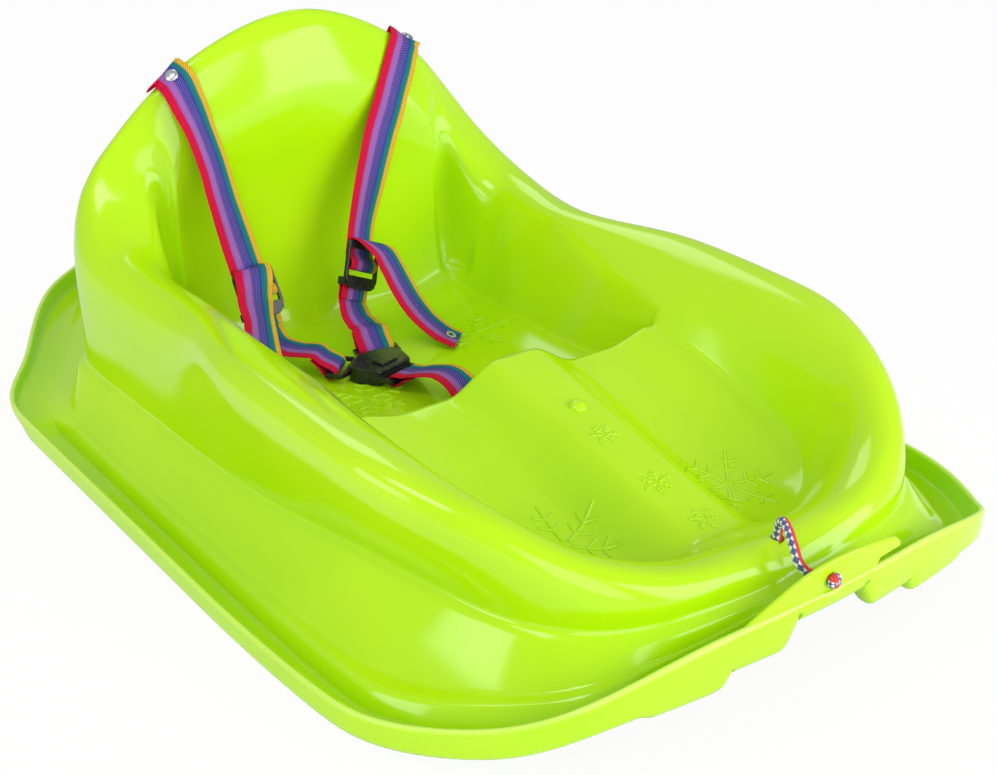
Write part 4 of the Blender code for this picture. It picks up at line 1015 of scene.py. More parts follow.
    @staticmethod
    def drill(obj: bpy.types.Object, at: tuple, way: tuple, radius: float) -> None:
        """Cuts a round hole through a piece."""
        bm = bmesh.new()
        bmesh.ops.create_cone(bm, cap_ends=True, segments=24, radius1=radius, radius2=radius, depth=0.020)
        turn = Vector((0, 0, 1)).rotation_difference(Vector(way)).to_matrix().to_4x4()
        bm.transform(Matrix.Translation(at) @ turn @ Matrix.Rotation(pi / 24, 4, "Z"))
        tool = new_object("drill", mesh_from(bm, "drill", False))
        cut = obj.modifiers.new("hole", "BOOLEAN")
        cut.operation, cut.solver, cut.object = "DIFFERENCE", "EXACT", tool
        made = evaluated(obj)
        obj.modifiers.clear()
        obj.data = made
        bpy.data.objects.remove(tool)


@dataclass
class Tongue:
    """The upright tongue behind the lip of the nose, which the cord's end is knotted through."""

    tub: Tub
    setback: float = 0.0012
    thickness: float = 0.003
    left: float = -0.058
    right: float = 0.050
    free: float = 0.028
    hole_x: float = -0.0042
    nose: float = 0.057
    hole_z: float = 0.0632
    columns: int = 73
    outline: tuple[tuple[float, float], ...] = (
        (0.0, -0.0030), (0.06, 0.0006), (0.14, 0.0046), (0.24, 0.0094), (0.34, 0.0132), (0.44, 0.0152),
        (0.54, 0.0160), (0.66, 0.0156), (0.80, 0.0134), (0.92, 0.0108), (0.975, 0.0090), (1.0, 0.0062))

    def build(self, finish: bpy.types.Material) -> bpy.types.Object:
        """Lofts the tongue along the lip and drills it.

        Args:
            finish: The plastic.

        Returns:
            The piece.
        """
        face = self.tub.ring("lip", self.tub.shares(), 4.0)
        near = face[face[:, 1] < -0.35]
        near = near[np.argsort(near[:, 0])]
        below = self.nose - 0.005
        verts, faces = [], []
        for k in range(self.columns):
            share = k / (self.columns - 1)
            x = self.left + (self.right - self.left) * share
            top = self.nose + float(np.interp(share, *zip(*self.outline)))
            foot = below + 0.0085 * smoothstep(self.free, self.free + 0.006, x)
            y = float(np.interp(x, near[:, 0], near[:, 1])) + self.setback
            lean = 0.0016 * smoothstep(self.free - 0.01, self.right, x)
            half, r = self.thickness / 2, self.thickness * 0.46
            arc = [(y + half - r * cos(a), top - r + r * sin(a)) for a in (pi * j / 6 for j in range(7))]
            loop = [(y + half - r, foot), (y + half - r, (foot + top) / 2), *arc]
            loop += [(y + half + r, (foot + top) / 2), (y + half + r, foot)]
            verts += [(x, py + lean * (pz - foot) / 0.02, pz) for py, pz in loop]
        size = len(verts) // self.columns
        for k in range(self.columns - 1):
            for j in range(size):
                a, b = k * size + j, k * size + (j + 1) % size
                faces.append((a, a + size, b + size, b))
        faces.append(tuple(range(size)))
        faces.append(tuple(range(len(verts) - 1, len(verts) - size - 1, -1)))
        mesh = mesh_of("nose_tongue", verts, faces)
        bm = bmesh.new()
        bm.from_mesh(mesh)
        bmesh.ops.recalc_face_normals(bm, faces=bm.faces[:])
        bm.to_mesh(mesh)
        bm.free()
        obj = add_piece("nose_tongue", mesh, finish)
        front = float(near[:, 1].min()) + self.setback + self.thickness / 2
        self.tub.drill(obj, (self.hole_x, front, self.hole_z), (0, 1, 0), self.tub.cord_hole[1])
        obj.data.shade_smooth()
        obj.data.set_sharp_from_angle(angle=radians(50))
        return obj


@dataclass
class FloorMarks:
    """Frost stars and a small dome moulded into the seat and the footwells."""

    floor: TubFloor
    ridge: float = 0.0020
    proud: float = 0.80
    stars: tuple[tuple[float, float, float, float], ...] = (
        (-0.0009, -0.2077, 0.0092, 12.0), (-0.0027, -0.2527, 0.0098, 40.0), (0.0004, -0.2865, 0.0090, 5.0),
        (0.0560, -0.2500, 0.0300, 20.0), (-0.0600, -0.2460, 0.0300, -8.0), (0.0740, 0.0210, 0.0280, 15.0),
        (-0.0420, -0.0250, 0.0280, 33.0))
    dome: tuple[float, float, float, float] = (0.002, -0.1808, 0.0052, 0.0034)

    def build(self, finish: bpy.types.Material) -> bpy.types.Object:
        """Lays the stars and the dome on the floor.

        Args:
            finish: The plastic.

        Returns:
            The piece.
        """
        maker = flake_maker()
        whole = bmesh.new()
        for x, y, size, turn in self.stars:
            values = {"Size": size, "Ridge": self.ridge * (0.8 if size < 0.02 else 1.15), "Material": finish}
            mesh = maker.run(bpy.data.meshes.new("star"), values)
            mesh.transform(Matrix.Translation((x, y, 0)) @ Matrix.Rotation(radians(turn), 4, "Z"))
            whole.from_mesh(mesh)
            bpy.data.meshes.remove(mesh)
        x, y, radius, rise = self.dome
        made = bmesh.ops.create_uvsphere(whole, u_segments=28, v_segments=14, radius=1.0)
        for v in made["verts"]:
            v.co = Vector((x + v.co.x * radius, y + v.co.y * radius, v.co.z * rise / self.proud))
        co = np.array([v.co for v in whole.verts])
        heights = self.floor.height(co[:, 0], co[:, 1]) + co[:, 2] * self.proud
        for v, z in zip(whole.verts, heights):
            v.co.z = z
        return add_piece("floor_marks", mesh_from(whole, "floor_marks", False), finish)


# The harness

def frame_of(origin: Sequence[float], across: Sequence[float], along: Sequence[float]) -> Matrix:
    """Matrix of a flat piece: X across it, Y along it and Z out to its front."""
    up = Vector(along).normalized()
    side = Vector(across)
    side = (side - up * side.dot(up)).normalized()
    columns = [Vector((*v, 0.0)) for v in (side, up, side.cross(up))] + [Vector((*origin, 1.0))]
    return Matrix(columns).transposed()


@dataclass
class Webbing:
    """Strips of woven webbing, laid along a path and lifted clear of the tub."""

    tub: Tub
    finish: bpy.types.Material
    width: float = 0.025
    thickness: float = 0.0014
    rest_over: float = 0.0011
    deepest: float = 0.012
    facing: float = 0.3
    columns: int = 18
    spacing: float = 0.0014

    def path(self, marks: list[Station], spacing: float) -> list[Station]:
        """Points and width directions along a smooth curve through stations."""
        pts = extended([p for p, _ in marks])
        ways = [w.normalized() for _, w in marks]
        ways = [ways[0]] + ways + [ways[-1]]
        out = []
        for i in range(1, len(pts) - 2):
            span = (pts[i + 1] - pts[i]).length
            count = max(1, round(span / min(spacing, max(span / 4, 0.0005))))
            for k in range(count + (i == len(pts) - 3)):
                f = k / count
                way = between(ways[i], ways[i + 1], smoothstep(0, 1, f))
                out.append((round_point(*pts[i - 1:i + 3], f), way))
        return out

    def lifts(self, lines: list[list[Vector]], normals: list[Vector]) -> Points:
        """How far each line of the strip moves along its normal to lie off the tub."""
        need = np.zeros(len(lines))
        for k, (line, normal) in enumerate(zip(lines, normals)):
            for q in line:
                place, face, _, gap = self.tub.upper.find_nearest(q)
                height = gap if (q - place).dot(face) > 0 else -gap
                lean = normal.dot(face)
                if -self.deepest < height < self.distance and abs(lean) > self.facing:
                    far = (self.distance - height) / lean
                    need[k] = far if abs(far) > abs(need[k]) else need[k]
        kernel = np.array([0.08, 0.12, 0.16, 0.28, 0.16, 0.12, 0.08])
        return np.convolve(np.pad(need, 3, mode="edge"), kernel, "valid")

    @property
    def distance(self) -> float:
        """From the tub to the middle of the webbing."""
        return self.rest_over + self.thickness / 2

    def build(self, name: str, marks: list[Station], node: str, rests_on: Sequence[str],
              laid: bool) -> tuple[bpy.types.Object, list[list[Vector]], list[Vector]]:
        """A strip with its UV map.

        Args:
            name: The piece's name.
            marks: Points and width directions.
            node: The CAD node that it stands for.
            rests_on: Not used.
            laid: Whether it is lifted off the tub.

        Returns:
            The piece, its cross lines and their normals.
        """
        lines, normals = [], []
        for k, (p, way) in enumerate(marks):
            along = (marks[min(k + 1, len(marks) - 1)][0] - marks[max(k - 1, 0)][0]).normalized()
            side = (way - along * way.dot(along)).normalized()
            lines.append([p + side * self.width * (c / self.columns - 0.5) for c in range(self.columns + 1)])
            normals.append(side.cross(along))
        if laid:
            for k, far in enumerate(self.lifts(lines, normals)):
                lines[k] = [q + normals[k] * far for q in lines[k]]
        middle = [line[self.columns // 2] for line in lines]
        length = sum((b - a).length for a, b in zip(middle, middle[1:]))
        obj = self.strip(name, lines, normals)
        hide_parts(node)
        LOG.info("%s: webbing %.0f x %.0f mm", name, self.width / MM, length / MM)
        return obj, lines, normals

    def strip(self, name: str, lines: list[list[Vector]], normals: list[Vector]) -> bpy.types.Object:
        """Gives cross lines their thickness, rounded selvedges and UV map."""
        n = self.columns
        bm = bmesh.new()
        layer = bm.loops.layers.uv.new("UVMap")
        rows, runs, run = [], [], 0.0
        for k, (line, normal) in enumerate(zip(lines, normals)):
            run += (line[n // 2] - lines[k - 1][n // 2]).length if k else 0.0
            runs.append(run)
            ring = []
            for c in list(range(n + 1)) + list(range(n, -1, -1)):
                across = abs(2 * c / n - 1)
                ring.append((line[c], self.thickness / 2 * (1 - 0.55 * across ** 10), c / n))
            top = [(bm.verts.new(q + normal * h), u) for q, h, u in ring[:n + 1]]
            low = [(bm.verts.new(q - normal * h), u) for q, h, u in ring[n + 1:]]
            rows.append(top + low)
        size = 2 * n + 2
        skin(bm, layer, [[v for v, _ in row] for row in rows], lambda r, c: (rows[r][c % size][1], runs[r]))
        for row, at in ((rows[0][::-1], runs[0]), (rows[-1], runs[-1])):
            for j in range(n):
                four = [row[j], row[j + 1], row[size - 2 - j], row[size - 1 - j]]
                face = bm.faces.new([v for v, _ in four])
                for loop, (_, u) in zip(face.loops, four):
                    loop[layer].uv = (u, at)
        obj = add_piece(name, mesh_from(bm, name), self.finish)
        obj.data.set_sharp_from_angle(angle=radians(60))
        return obj


@dataclass
class Adjuster:
    """Frame of a ladder adjuster: X across, Y up the strap and Z out to the front."""

    place: Matrix
    layer: float = 0.0017
    plate: float = 0.0030
    middle_bar: float = 0.0018
    top_edge: float = 0.0160
    rear_bar: float = 0.0012
    rear_at: float = -0.0120
    rear_back: float = -0.0052
    sewn: float = 0.012
    web: float = 0.0014

    def at(self, along: float, out: float) -> Station:
        """Point and width direction of a place in the adjuster's frame."""
        return self.place @ Vector((0.0, along, out)), self.place.to_3x3().col[0].copy()

    def weave(self) -> list[Station]:
        """Stations of the shoulder strap from above the adjuster round its bars to above its top."""
        back = -(self.plate / 2 + GAP + self.web / 2)
        front, behind = -back, back - self.layer
        bar = self.middle_bar + GAP + self.web / 2
        top = self.top_edge + GAP + self.web / 2
        down = [(0.030, behind), (0.020, behind), (0.0125, behind), (0.0085, behind - 0.0001),
                (0.0045, behind + 0.0005), (0.0015, back - 0.0004), (-0.0010, back)]
        turn = [(-bar, back * 0.72), (-bar - 0.0008, 0.0), (-bar, front * 0.72), (-0.0008, front)]
        through = [(0.0012, front), (bar, front * 0.66), (bar + 0.0016, 0.0002), (0.0068, back * 0.8)]
        over = [(0.0100, back), (0.0140, back), (0.0156, back), (top - GAP, -0.0021), (top + GAP, 0.0),
                (top, 0.0023)]
        return [self.at(u, n) for u, n in down + turn + through + over]

    def hook(self) -> list[Station]:
        """Stations of the lower strap from its sewn end round the rear bar and down."""
        r = self.rear_bar + GAP + self.web / 2
        turns = [radians(d) for d in (-60, -30, 0, 30, 60)]
        turn = [(self.rear_at + r * cos(a), self.rear_back - r * sin(a)) for a in turns]
        low, near = self.rear_at - self.sewn, self.rear_at - self.sewn / 2
        apart = (self.layer + GAP) / 2
        places = [(low, self.rear_back + apart), (near, self.rear_back + apart + GAP)]
        places += [(self.rear_at, self.rear_back + r), *turn, (self.rear_at, self.rear_back - r)]
        places += [(near, self.rear_back - apart - GAP), (low, self.rear_back - apart)]
        return [self.at(u, n) for u, n in places]


@dataclass
class Buckle:
    """Frames of the three-way buckle and its tongues."""

    seat: float
    at: tuple[float, float] = (-0.014, -0.003)
    turn: float = radians(13.7)
    height: float = 0.0110
    tongue_turn: float = radians(28)
    offset: float = 0.006
    base: float = 0.002
    plate: float = 0.0030
    slot_end: float = 0.0262
    bar: float = 0.0040
    crotch_slot: float = -0.0165
    crotch_bar: float = 0.0036
    sewn: float = 0.012
    web: float = 0.0014

    @property
    def place(self) -> Matrix:
        """The buckle's frame: X across, Y along the harness and Z up, from its middle."""
        middle = self.seat + GAP + self.height / 2
        return Matrix.Translation((*self.at, middle)) @ Matrix.Rotation(self.turn, 4, "Z")

    def tongue(self, side: Side) -> Matrix:
        """Frame of a tongue: Y outwards along it."""
        shift = Matrix.Translation((side.sign * self.offset, self.base, 0.0))
        return self.place @ shift @ Matrix.Rotation(-side.sign * self.tongue_turn, 4, "Z")

    def turn_round(self, place: Matrix, bar: float, lean: float, outwards: int = 1) -> list[Station]:
        """Stations of a strap from its sewn end round a bar and away.

        Args:
            place: Frame of the plate.
            bar: Place of the bar along it.
            lean: Angle of the strap to the plate.
            outwards: 1 away along the frame's Y, -1 against it.

        Returns:
            Points and width directions.
        """
        away = Vector((0, outwards * cos(lean), sin(lean)))
        over = Vector((0, -outwards * sin(lean), cos(lean)))
        radius = Vector((self.bar / 2, self.plate / 2)).length + GAP + self.web / 2
        apart = (self.web + 2 * GAP) / 2
        far, near = self.sewn + radius, self.sewn / 2 + radius
        places = [(far, -apart), (near, -apart - GAP)]
        places += [(radius * cos(a), radius * sin(a)) for a in (radians(d) for d in range(-75, -286, -30))]
        places += [(near, apart + GAP), (far, apart)]
        width = place.to_3x3().col[0].copy()
        return [(place @ (Vector((0, bar, 0)) + away * t + over * z), width) for t, z in places]


@dataclass
class Harness:
    """The straps with their stitching, and the dress of buckle, adjusters, rivets and eyelets."""

    tub: Tub
    finishes: Finishes
    lean: float = radians(38)
    crotch_lean: float = radians(24)
    crotch_rivet_y: float = -0.098
    rivet_y: float = 0.1175
    rivet_proud: float = 0.0030
    rivet_axis: tuple[float, float, float] = (-0.60, 0.10, 0.78)
    rim_lines: int = 60
    rim_rows: tuple[int, int] = (2, 4)
    tongue_rows: tuple[int, int] = (6, 8)
    crotch_rows: tuple[int, int] = (20, 4)
    stitch_pitch: float = 0.0022
    stitch_length: float = 0.0017
    thread: float = 0.0006
    rims: dict[Side, list[Station]] = field(default_factory=lambda: {
        Side.LEFT: stations(
            ((-93, 132, 213.7), (0.78, 0.1, 0.58)), ((-92.3, 127.5, 219.5), (0.78, 0.1, 0.58)),
            ((-91.4, 123, 223.2), (0.78, 0.08, 0.58)), ((-90.4, 118.5, 222), (0.78, 0.06, 0.58)),
            ((-89, 113, 219.3), (0.79, 0.06, 0.56)), ((-86.5, 104, 206), (0.86, 0.2, 0.4)),
            ((-83.3, 95, 187.5), (0.90, 0.38, 0.2)), ((-81.3, 86, 168), (0.94, 0.3, 0)),
            ((-80, 79, 148), (0.96, 0.22, -0.1)), ((-78, 70, 122), (0.98, 0.1, -0.1))),
        Side.RIGHT: stations(
            ((94, 132, 213.7), (0.78, -0.1, -0.58)), ((93, 127.5, 219.5), (0.78, -0.1, -0.58)),
            ((91.4, 123, 223.2), (0.78, -0.08, -0.58)), ((88.8, 118.5, 222.8), (0.79, -0.08, -0.58)),
            ((84.8, 112.5, 221), (0.81, -0.08, -0.55)), ((73, 104, 206.5), (0.88, -0.15, -0.42)),
            ((59.5, 95, 185.5), (0.94, -0.11, -0.32)), ((48, 88, 170), (0.96, -0.1, -0.25)),
            ((35, 80, 148.5), (0.96, 0, -0.22)), ((21, 70.5, 123), (0.95, 0.1, -0.28)))})
    tails: dict[Side, list[Station]] = field(default_factory=lambda: {
        Side.LEFT: stations(((-77.5, 50, 98.5), (0.97, 0, 0)), ((-79.5, 46, 89), (0.98, 0, -0.05)),
                            ((-79.8, 42.5, 76), (0.96, 0.2, -0.15)), ((-82, 36, 60), (0.99, 0.05, -0.1)),
                            ((-83.5, 28, 48), (1, 0, -0.05)), ((-83.5, 19, 42.8), (1, 0.03, -0.07)),
                            ((-83, 10, 40.7), (1, 0.05, -0.07)), ((-82, 0, 39.2), (1, 0.05, -0.07))),
        Side.RIGHT: stations(((21.5, 51.5, 98.5), (0.91, 0.36, -0.19)), ((25.7, 46, 88), (0.94, 0.33, -0.11)),
                             ((29.5, 40, 75), (0.94, 0.33, -0.06)), ((34.2, 34, 62.5), (0.94, 0.32, -0.1)),
                             ((41, 27, 50.5), (0.92, 0.38, -0.1)), ((49, 19, 41.5), (0.9, 0.42, -0.05)),
                             ((56, 11, 37), (0.87, 0.5, 0)))})
    middles: dict[Side, list[Station]] = field(default_factory=lambda: {
        Side.LEFT: stations(((-64.5, 48.5, 53.5), (0.95, 0.25, -0.05)), ((-57, 39, 50.5), (0.87, 0.45, 0))),
        Side.RIGHT: stations(((0.2, 53, 54.5), (0.96, 0.1, -0.2)), ((1.4, 46, 50.5), (0.98, -0.1, -0.1)))})
    adjusters: dict[Side, Adjuster] = field(default_factory=lambda: {
        Side.LEFT: Adjuster(frame_of((-0.071, 0.0575, 0.087), (1, 0.02, -0.10), (-0.11, 0.33, 0.94))),
        Side.RIGHT: Adjuster(frame_of((0.010, 0.060, 0.0875), (0.93, 0.22, -0.29), (0.35, 0.29, 0.88)))})

    def shoulder(self, side: Side, web: Webbing) -> None:
        """A shoulder strap from the rim, through its adjuster, to the free tail."""
        adjuster = self.adjusters[side]
        path = web.path(self.rims[side][:-1] + adjuster.weave() + self.tails[side], web.spacing)
        name = "rainbow_strap_" + side.value
        obj, lines, normals = web.build(name, path, "shoulder_strap_" + side.value,
                                        ["sled_shell", "adjuster_" + side.value], True)
        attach(obj, "sled")
        seams = [self.cross(lines, normals, k) for k in self.rim_rows]
        self.stitch("rim_stitches_" + side.value, seams, "sled")
        if side is Side.LEFT:
            self.rim_rivet(lines, normals)

    def rim_rivet(self, lines: list[list[Vector]], normals: list[Vector]) -> None:
        """The left rivet, set where the strap lies on the front of the rim."""
        node = frame["nodes"]["shoulder_left_rivet"]
        old = Vector(self.rivet_axis).normalized()
        top = max((v.co for v in node.data.vertices), key=old.dot).copy()
        k = min(range(self.rim_lines), key=lambda row: abs(lines[row][0].y - self.rivet_y))
        out = -normals[k]
        mesh = node.data.copy()
        turn = old.rotation_difference(out).to_matrix().to_4x4()
        middle = lines[k][len(lines[k]) // 2]
        mesh.transform(Matrix.Translation(middle + out * self.rivet_proud) @ turn @ Matrix.Translation(-top))
        rivet = add_piece("rim_rivet_left", mesh, self.finishes.steel)
        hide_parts(node.name)
        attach(rivet, "sled")

    def lower(self, side: Side, web: Webbing, buckle: Buckle) -> None:
        """A lower strap from the adjuster's rear bar to its tongue."""
        place = buckle.tongue(side)
        bar = buckle.slot_end + buckle.bar / 2
        turn = buckle.turn_round(place, bar, self.lean)[::-1]
        marks = self.adjusters[side].hook() + self.middles[side] + turn
        path = web.path(marks, 0.0010)
        obj, lines, normals = web.build("rainbow_lower_" + side.value, path, "lower_strap_" + side.value,
                                        ["adjuster_" + side.value, "buckle_tongue_" + side.value], False)
        start, end = self.middles[side][0][0], turn[0][0]
        tuple(start)
        tuple(end)
        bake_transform(obj)
        seams = [self.cross(lines, normals, len(lines) - k, -1) for k in self.tongue_rows]
        self.stitch("tongue_stitches_" + side.value, seams, "tongue_" + side.value)

    def crotch(self, web: Webbing, buckle: Buckle) -> None:
        """The crotch strap from the buckle's front bar to the seat pan."""
        bar = buckle.crotch_slot - buckle.crotch_bar / 2
        turn = buckle.turn_round(buckle.place, bar, self.crotch_lean, -1)
        lie = (self.tub.floor.seat + GAP + web.thickness / 2) / MM + 0.4
        rivet = self.crotch_rivet_y / MM
        arch = stations(((-2.2, -42, 49.2), (0.97, 0.24, 0)), ((0, -51, 51.2), (0.97, 0.22, 0)),
                        ((1.5, -59, 50.5), (0.98, 0.2, 0)), ((2.6, -67, 47.5), (1, 0.15, 0)),
                        ((2.8, -75, 42.5), (1, 0.1, 0)), ((2.0, -83, 37.5), (1, 0.05, 0)),
                        ((0.8, -90, lie), (1, 0, 0)), ((0, rivet, lie), (1, 0, 0)),
                        ((0, rivet - 8.5, lie), (1, 0, 0)))
        path = web.path(turn + arch, 0.0010)
        obj, lines, normals = web.build("rainbow_crotch", path, "crotch_strap",
                                        ["sled_shell", "buckle_body"], False)
        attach(obj, "sled")
        seams = [self.cross(lines, normals, len(lines) - k) for k in self.crotch_rows]
        self.stitch("crotch_stitches", seams, "sled")

    @staticmethod
    def cross(lines: list[list[Vector]], normals: list[Vector], k: int, face: int = 1) -> list[Vector]:
        """The cross line of a seam, on a face of the webbing."""
        return [q + normals[k] * (face * SEAM_LIFT) for q in lines[k][1:-1]]

    def stitch(self, name: str, seams: list[list[Vector]], body: str) -> None:
        """Sews seams with red thread.

        Args:
            name: The piece's name.
            seams: Lines of points.
            body: The body that it rides on.
        """
        verts = [p for seam in seams for p in seam]
        edges, start = [], 0
        for seam in seams:
            edges += [(start + k, start + k + 1) for k in range(len(seam) - 1)]
            start += len(seam)
        mesh = bpy.data.meshes.new(name)
        mesh.from_pydata([tuple(v) for v in verts], edges, [])
        yarn = self.finishes.yarn
        values = {"Pitch": self.stitch_pitch, "Length": self.stitch_length, "Thread": self.thread,
                  "Material": yarn}
        obj = add_piece(name, stitch_maker().run(mesh, values), yarn)
        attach(obj, body)

    def build(self) -> None:
        """Makes the straps and dresses the hard parts."""
        web = Webbing(self.tub, self.finishes.weave)
        top = self.tub.upper.ray_cast(Vector((*Buckle.at, 1.0)), Vector((0, 0, -1)))[0].z
        buckle = Buckle(top)
        for side in Side:
            self.shoulder(side, web)
            self.lower(side, web, buckle)
        self.crotch(web, buckle)
        steel = ("rivet", "washer", "eyelet_left", "eyelet_right")
        for name, node in frame["nodes"].items():
            if name.startswith(("adjuster", "buckle", "release", "hank_tie")):
                dress(node, self.finishes.black)
            elif name.endswith(steel) and name != "shoulder_left_rivet":
                dress(node, self.finishes.steel)


def dress(node: bpy.types.Object, finish: bpy.types.Material) -> None:
    """Gives a CAD node its finish."""
    node.data.materials.clear()
    node.data.materials.append(finish)
    LOG.info("%s: dressed in %s", node.name, finish.name)


# The pull cord

@dataclass
class PullCord:
    """The braided cord from its knot in the tongue, through the rim, to its hank under the seat."""

    finish: bpy.types.Material
    diameter: float = 0.005
    strands: int = 4
    crossing: float = 0.0038
    relief: float = 0.00042
    around: int = 24
    front: tuple[float, float, float] = (-0.0042, -0.3748, 0.0632)
    hank: tuple[float, float] = (-0.258, -0.128)
    middle: float = 0.01085
    knot: tuple[float, float] = (0.0043, 0.0042)
    knot_relief: float = 0.0006
    knot_crossing: float = 0.42
    free_points: int = 14
    free_step: float = 0.0007
    hank_step: float = 0.0011

    def route(self) -> list[Vector]:
        """Points of the cord: tongue, rim, and two wide and two narrow turns of the hank."""
        z = self.middle / MM
        pts = [(-4.2, -375.1, 63.2), (-4.8, -368.6, 62.4), (-8.0, -363.8, 62.6), (-10.4, -359.5, 67.0),
               (-9.0, -354, 73.5), (-5.2, -346.5, 77.6), (-1.6, -340, 77.4), (0, -336.6, 73.4), (0, -336, 64),
               (0, -335, 52), (0, -328, 36), (0, -312, 20), (0, -290, z), (0, -274, z), (0, -258.3, z)]
        pts += [(2.0, -250, 9.5), (6.5, -240, 6.4), (10.2, -228, 5.0)]
        for wide, low, high in ((10.4, 5.0, 10.6), (10.4, 10.9, 16.0), (4.9, 16.4, 11.0), (4.9, 10.8, 5.4)):
            pts += self.turn(wide, low, high)
        pts += [(3.0, -150, 6.4), (0.6, -140, 9.0), (0, -133, z), (0, -127.8, z)]
        return [Vector(p) * MM for p in pts]

    def turn(self, wide: float, low: float, high: float) -> list[tuple[float, float, float]]:
        """One turn of the hank.

        Args:
            wide: Half width of the turn in millimetres.
            low: Height at its start.
            high: Height at its end.

        Returns:
            Its points, from the right side's front over the rear and back.
        """
        front, rear = self.hank[0] / MM + 3 + wide, self.hank[1] / MM - 3 - wide
        out = [(wide, front + (rear - front) * f, low) for f in (0.0, 0.25, 0.5, 0.75)]
        out += [(wide * cos(a), rear + wide * sin(a), low) for a in (pi * k / 6 for k in range(7))]
        out += [(-wide, rear + (front - rear) * f, low + (high - low) * 0.5 * f) for f in (0.25, 0.5, 0.75)]
        for k in range(6):
            a = pi * k / 6
            out.append((-wide * cos(a), front - wide * sin(a), low + (high - low) * (0.5 + 0.5 * k / 6)))
        return out

    def centreline(self) -> list[Vector]:
        """Close points along the cord."""
        pts = extended(self.route())
        out = []
        for i in range(1, len(pts) - 2):
            span = (pts[i + 1] - pts[i]).length
            if span < 1e-6:
                continue
            step = self.free_step if i < self.free_points else self.hank_step
            count = max(1, round(span / step))
            out += [round_point(*pts[i - 1:i + 3], k / count) for k in range(count)]
        return out + [pts[-2]]

    def height(self, turn: float, along: float) -> float:
        """Relief of the braid, from 0 to 1.

        Args:
            turn: Place round the cord, in turns.
            along: Place along it, in crossings.

        Returns:
            The height of the strand that is on top.
        """
        one, other = turn * self.strands + along, turn * self.strands - along
        a, b = one % 1.0, other % 1.0
        if (int(one // 1) + int(other // 1)) % 2:
            a, b = b, a
        return sin(pi * a) ** 0.7 * (0.55 + 0.45 * sin(pi * b))

    def build(self) -> bpy.types.Object:
        """The tube with its braid, and the knotted ends."""
        line = self.centreline()
        bm = bmesh.new()
        layer = bm.loops.layers.uv.new("UVMap")
        rings, along, side = [], [], Vector((1, 0, 0))
        run = 0.0
        for k, p in enumerate(line):
            run += (p - line[k - 1]).length if k else 0.0
            ahead = (line[min(k + 1, len(line) - 1)] - line[max(k - 1, 0)]).normalized()
            side = (side - ahead * side.dot(ahead)).normalized()
            up = ahead.cross(side)
            ring = []
            for j in range(self.around):
                a = tau * j / self.around
                lift = self.height(j / self.around, run / self.crossing)
                reach = self.diameter / 2 - self.relief * (1 - lift)
                ring.append(bm.verts.new(p + (side * cos(a) + up * sin(a)) * reach))
            rings.append(ring)
            along.append(run / self.crossing)
        skin(bm, layer, rings, lambda r, c: (c / self.around, along[r]))
        bm.faces.new(rings[0][::-1])
        bm.faces.new(rings[-1])
        obj = add_piece("braided_pull_cord", mesh_from(bm, "braided_pull_cord"), self.finish)
        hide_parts("pull_cord", "cord_hank")
        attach(obj, "sled")
        ends = [self.end("cord_end_front", "cord_knot_front", self.front, -1),
                self.end("cord_end_rear", "cord_knot_end", (0.0, self.hank[1] + GAP, self.middle), 1)]
        tuple(line[0])
        [tuple(p) for p in line]
        return obj

    def end(self, name: str, node: str, at: Sequence[float], way: int) -> bpy.types.Object:
        """The knotted end of the cord: a round button of yarns.

        Args:
            name: The piece's name.
            node: The CAD node that it stands for.
            at: Middle of its inner face.
            way: -1 towards the nose, 1 towards the tail.

        Returns:
            The piece.
        """
        radius, depth = self.knot
        shape = ((0.0, 0.0), (0.78, 0.02), (0.97, 0.22), (1.0, 0.48), (0.94, 0.72), (0.76, 0.90),
                 (0.5, 0.98), (0.26, 1.0), (0.0, 1.0))
        segments = 48
        bm = bmesh.new()
        layer = bm.loops.layers.uv.new("UVMap")
        rings = []
        for k, (r, h) in enumerate(shape):
            ring = []
            for j in range(segments):
                a = tau * j / segments
                bulge = self.height(j / segments, k * self.knot_crossing) * self.knot_relief * r
                reach = max(radius * r - self.knot_relief * r, 0.0) + bulge
                place = (at[0] + reach * cos(a), at[1] + way * depth * h, at[2] + reach * sin(a))
                ring.append(bm.verts.new(place))
            rings.append(ring)
        skin(bm, layer, rings, lambda r, c: (2.5 * c / segments, r * self.knot_crossing))
        bmesh.ops.remove_doubles(bm, verts=bm.verts[:], dist=1e-6)
        obj = add_piece(name, mesh_from(bm, name), self.finish)
        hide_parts(node)
        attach(obj, "sled")
        return obj


# The studio

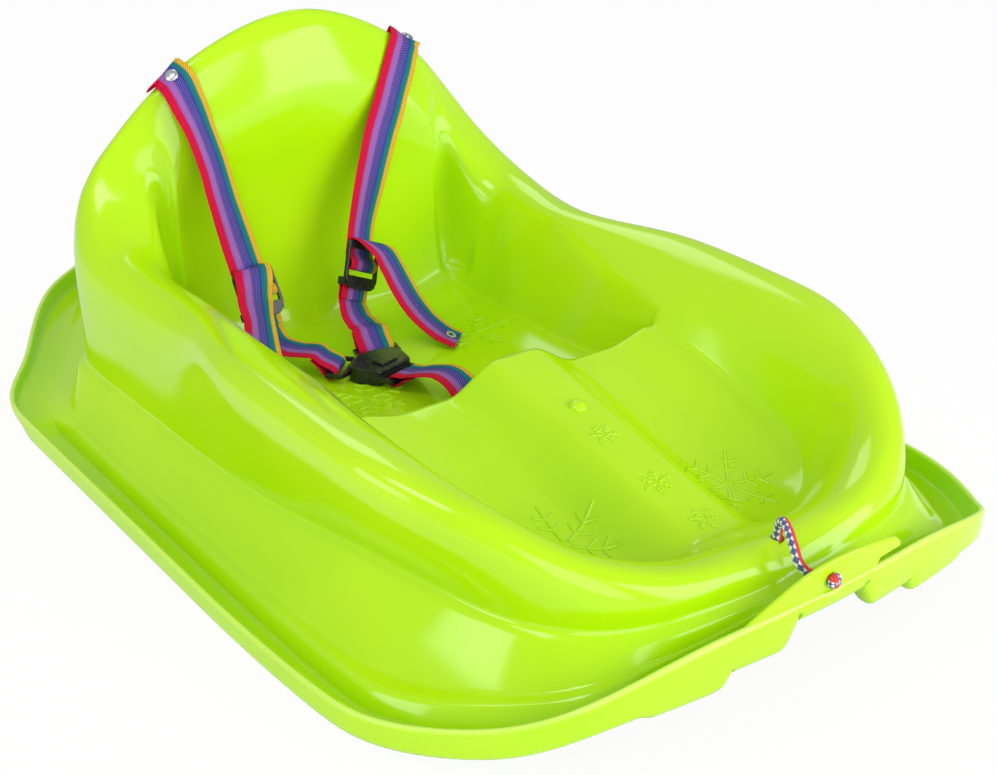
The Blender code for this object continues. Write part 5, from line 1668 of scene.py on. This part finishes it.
@dataclass
class Studio:
    """Camera at the photograph's angle, pale floor and soft light."""

    eye: tuple[float, float, float] = (-0.480, -0.7421, 0.4384)
    right: tuple[float, float, float] = (0.797, -0.604, 0.0)
    down: tuple[float, float, float] = (-0.2588, -0.3414, -0.9036)
    lens: float = 52.36
    world: float = 0.46
    floor_reach: float = 30.0
    floor_z: float = -0.0004
    lamps: tuple[tuple[str, tuple[float, float, float], float, float], ...] = (
        ("front", (-0.9, -2.3, 1.0), 1.7, 22.0), ("sheen", (1.2, -2.1, 0.70), 2.0, 44.0),
        ("key", (-1.0, -0.2, 1.9), 0.7, 8.0), ("side", (-2.2, 0.2, 0.8), 1.0, 11.0),
        ("back", (0.9, 1.5, 1.7), 0.8, 4.0))

    def camera(self) -> None:
        """Sets the camera."""
        data = bpy.data.cameras.new("view")
        data.lens, data.sensor_width, data.sensor_fit = self.lens, 36.0, "HORIZONTAL"
        data.clip_start, data.clip_end = 0.01, 50.0
        cam = new_object("view", data)
        right, up = Vector(self.right).normalized(), -Vector(self.down).normalized()
        up = (up - right * up.dot(right)).normalized()
        turn = Matrix((right, up, right.cross(up))).transposed().to_4x4()
        cam.matrix_world = Matrix.Translation(self.eye) @ turn
        bpy.context.scene.camera = cam

    def lamp(self, name: str, at: tuple, size: float, power: float) -> None:
        """A square soft light that points at the sled."""
        data = bpy.data.lights.new(name, "AREA")
        data.shape, data.size, data.energy = "SQUARE", size, power
        obj = new_object(name, data)
        aim = Vector((0.0, 0.0, 0.08)) - Vector(at)
        obj.matrix_world = Matrix.Translation(at) @ aim.to_track_quat("-Z", "Y").to_matrix().to_4x4()

    def build(self) -> None:
        """Makes floor, backdrop light and lamps."""
        reach, z = self.floor_reach, self.floor_z
        square = [(-reach, -reach, z), (reach, -reach, z), (reach, reach, z), (-reach, reach, z)]
        mesh = mesh_of("studio_floor", square, [(0, 1, 2, 3)])
        add_piece("studio_floor", mesh, StudioFloor().make())
        world = bpy.data.worlds.new("studio")
        world.use_nodes = True
        bpy.context.scene.world = world
        sky = Recipe(world.node_tree)
        sky.tree.nodes.clear()
        seen = sky.node("ShaderNodeLightPath", output="Is Camera Ray")
        power = seen * (1.0 - self.world) + self.world
        light = sky.node("ShaderNodeBackground", inputs={"Color": (1.0, 1.0, 1.0, 1.0), "Strength": power})
        out = sky.tree.nodes.new("ShaderNodeOutputWorld")
        sky.tree.links.new(light.socket, out.inputs["Surface"])
        for lamp in self.lamps:
            self.lamp(*lamp)
        bpy.context.scene.view_settings.view_transform = "Standard"


def main() -> None:
    """Builds the sled piece by piece."""
    logging.basicConfig(level=logging.INFO, format="%(name)s: %(message)s")
    studio = Studio()
    studio.camera()
    finishes = Finishes()
    PullCord(finishes.yarn).build()
    tub = Tub()
    shell = tub.build(finishes.plastic)
    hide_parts("sled_shell")
    for piece in (shell, Tongue(tub).build(finishes.plastic), FloorMarks(tub.floor).build(finishes.plastic)):
        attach(piece, "sled")
        LOG.info("%s: %d faces", piece.name, len(piece.data.polygons))
    Harness(tub, finishes).build()
    studio.build()


if __name__ == "__main__":
    main()
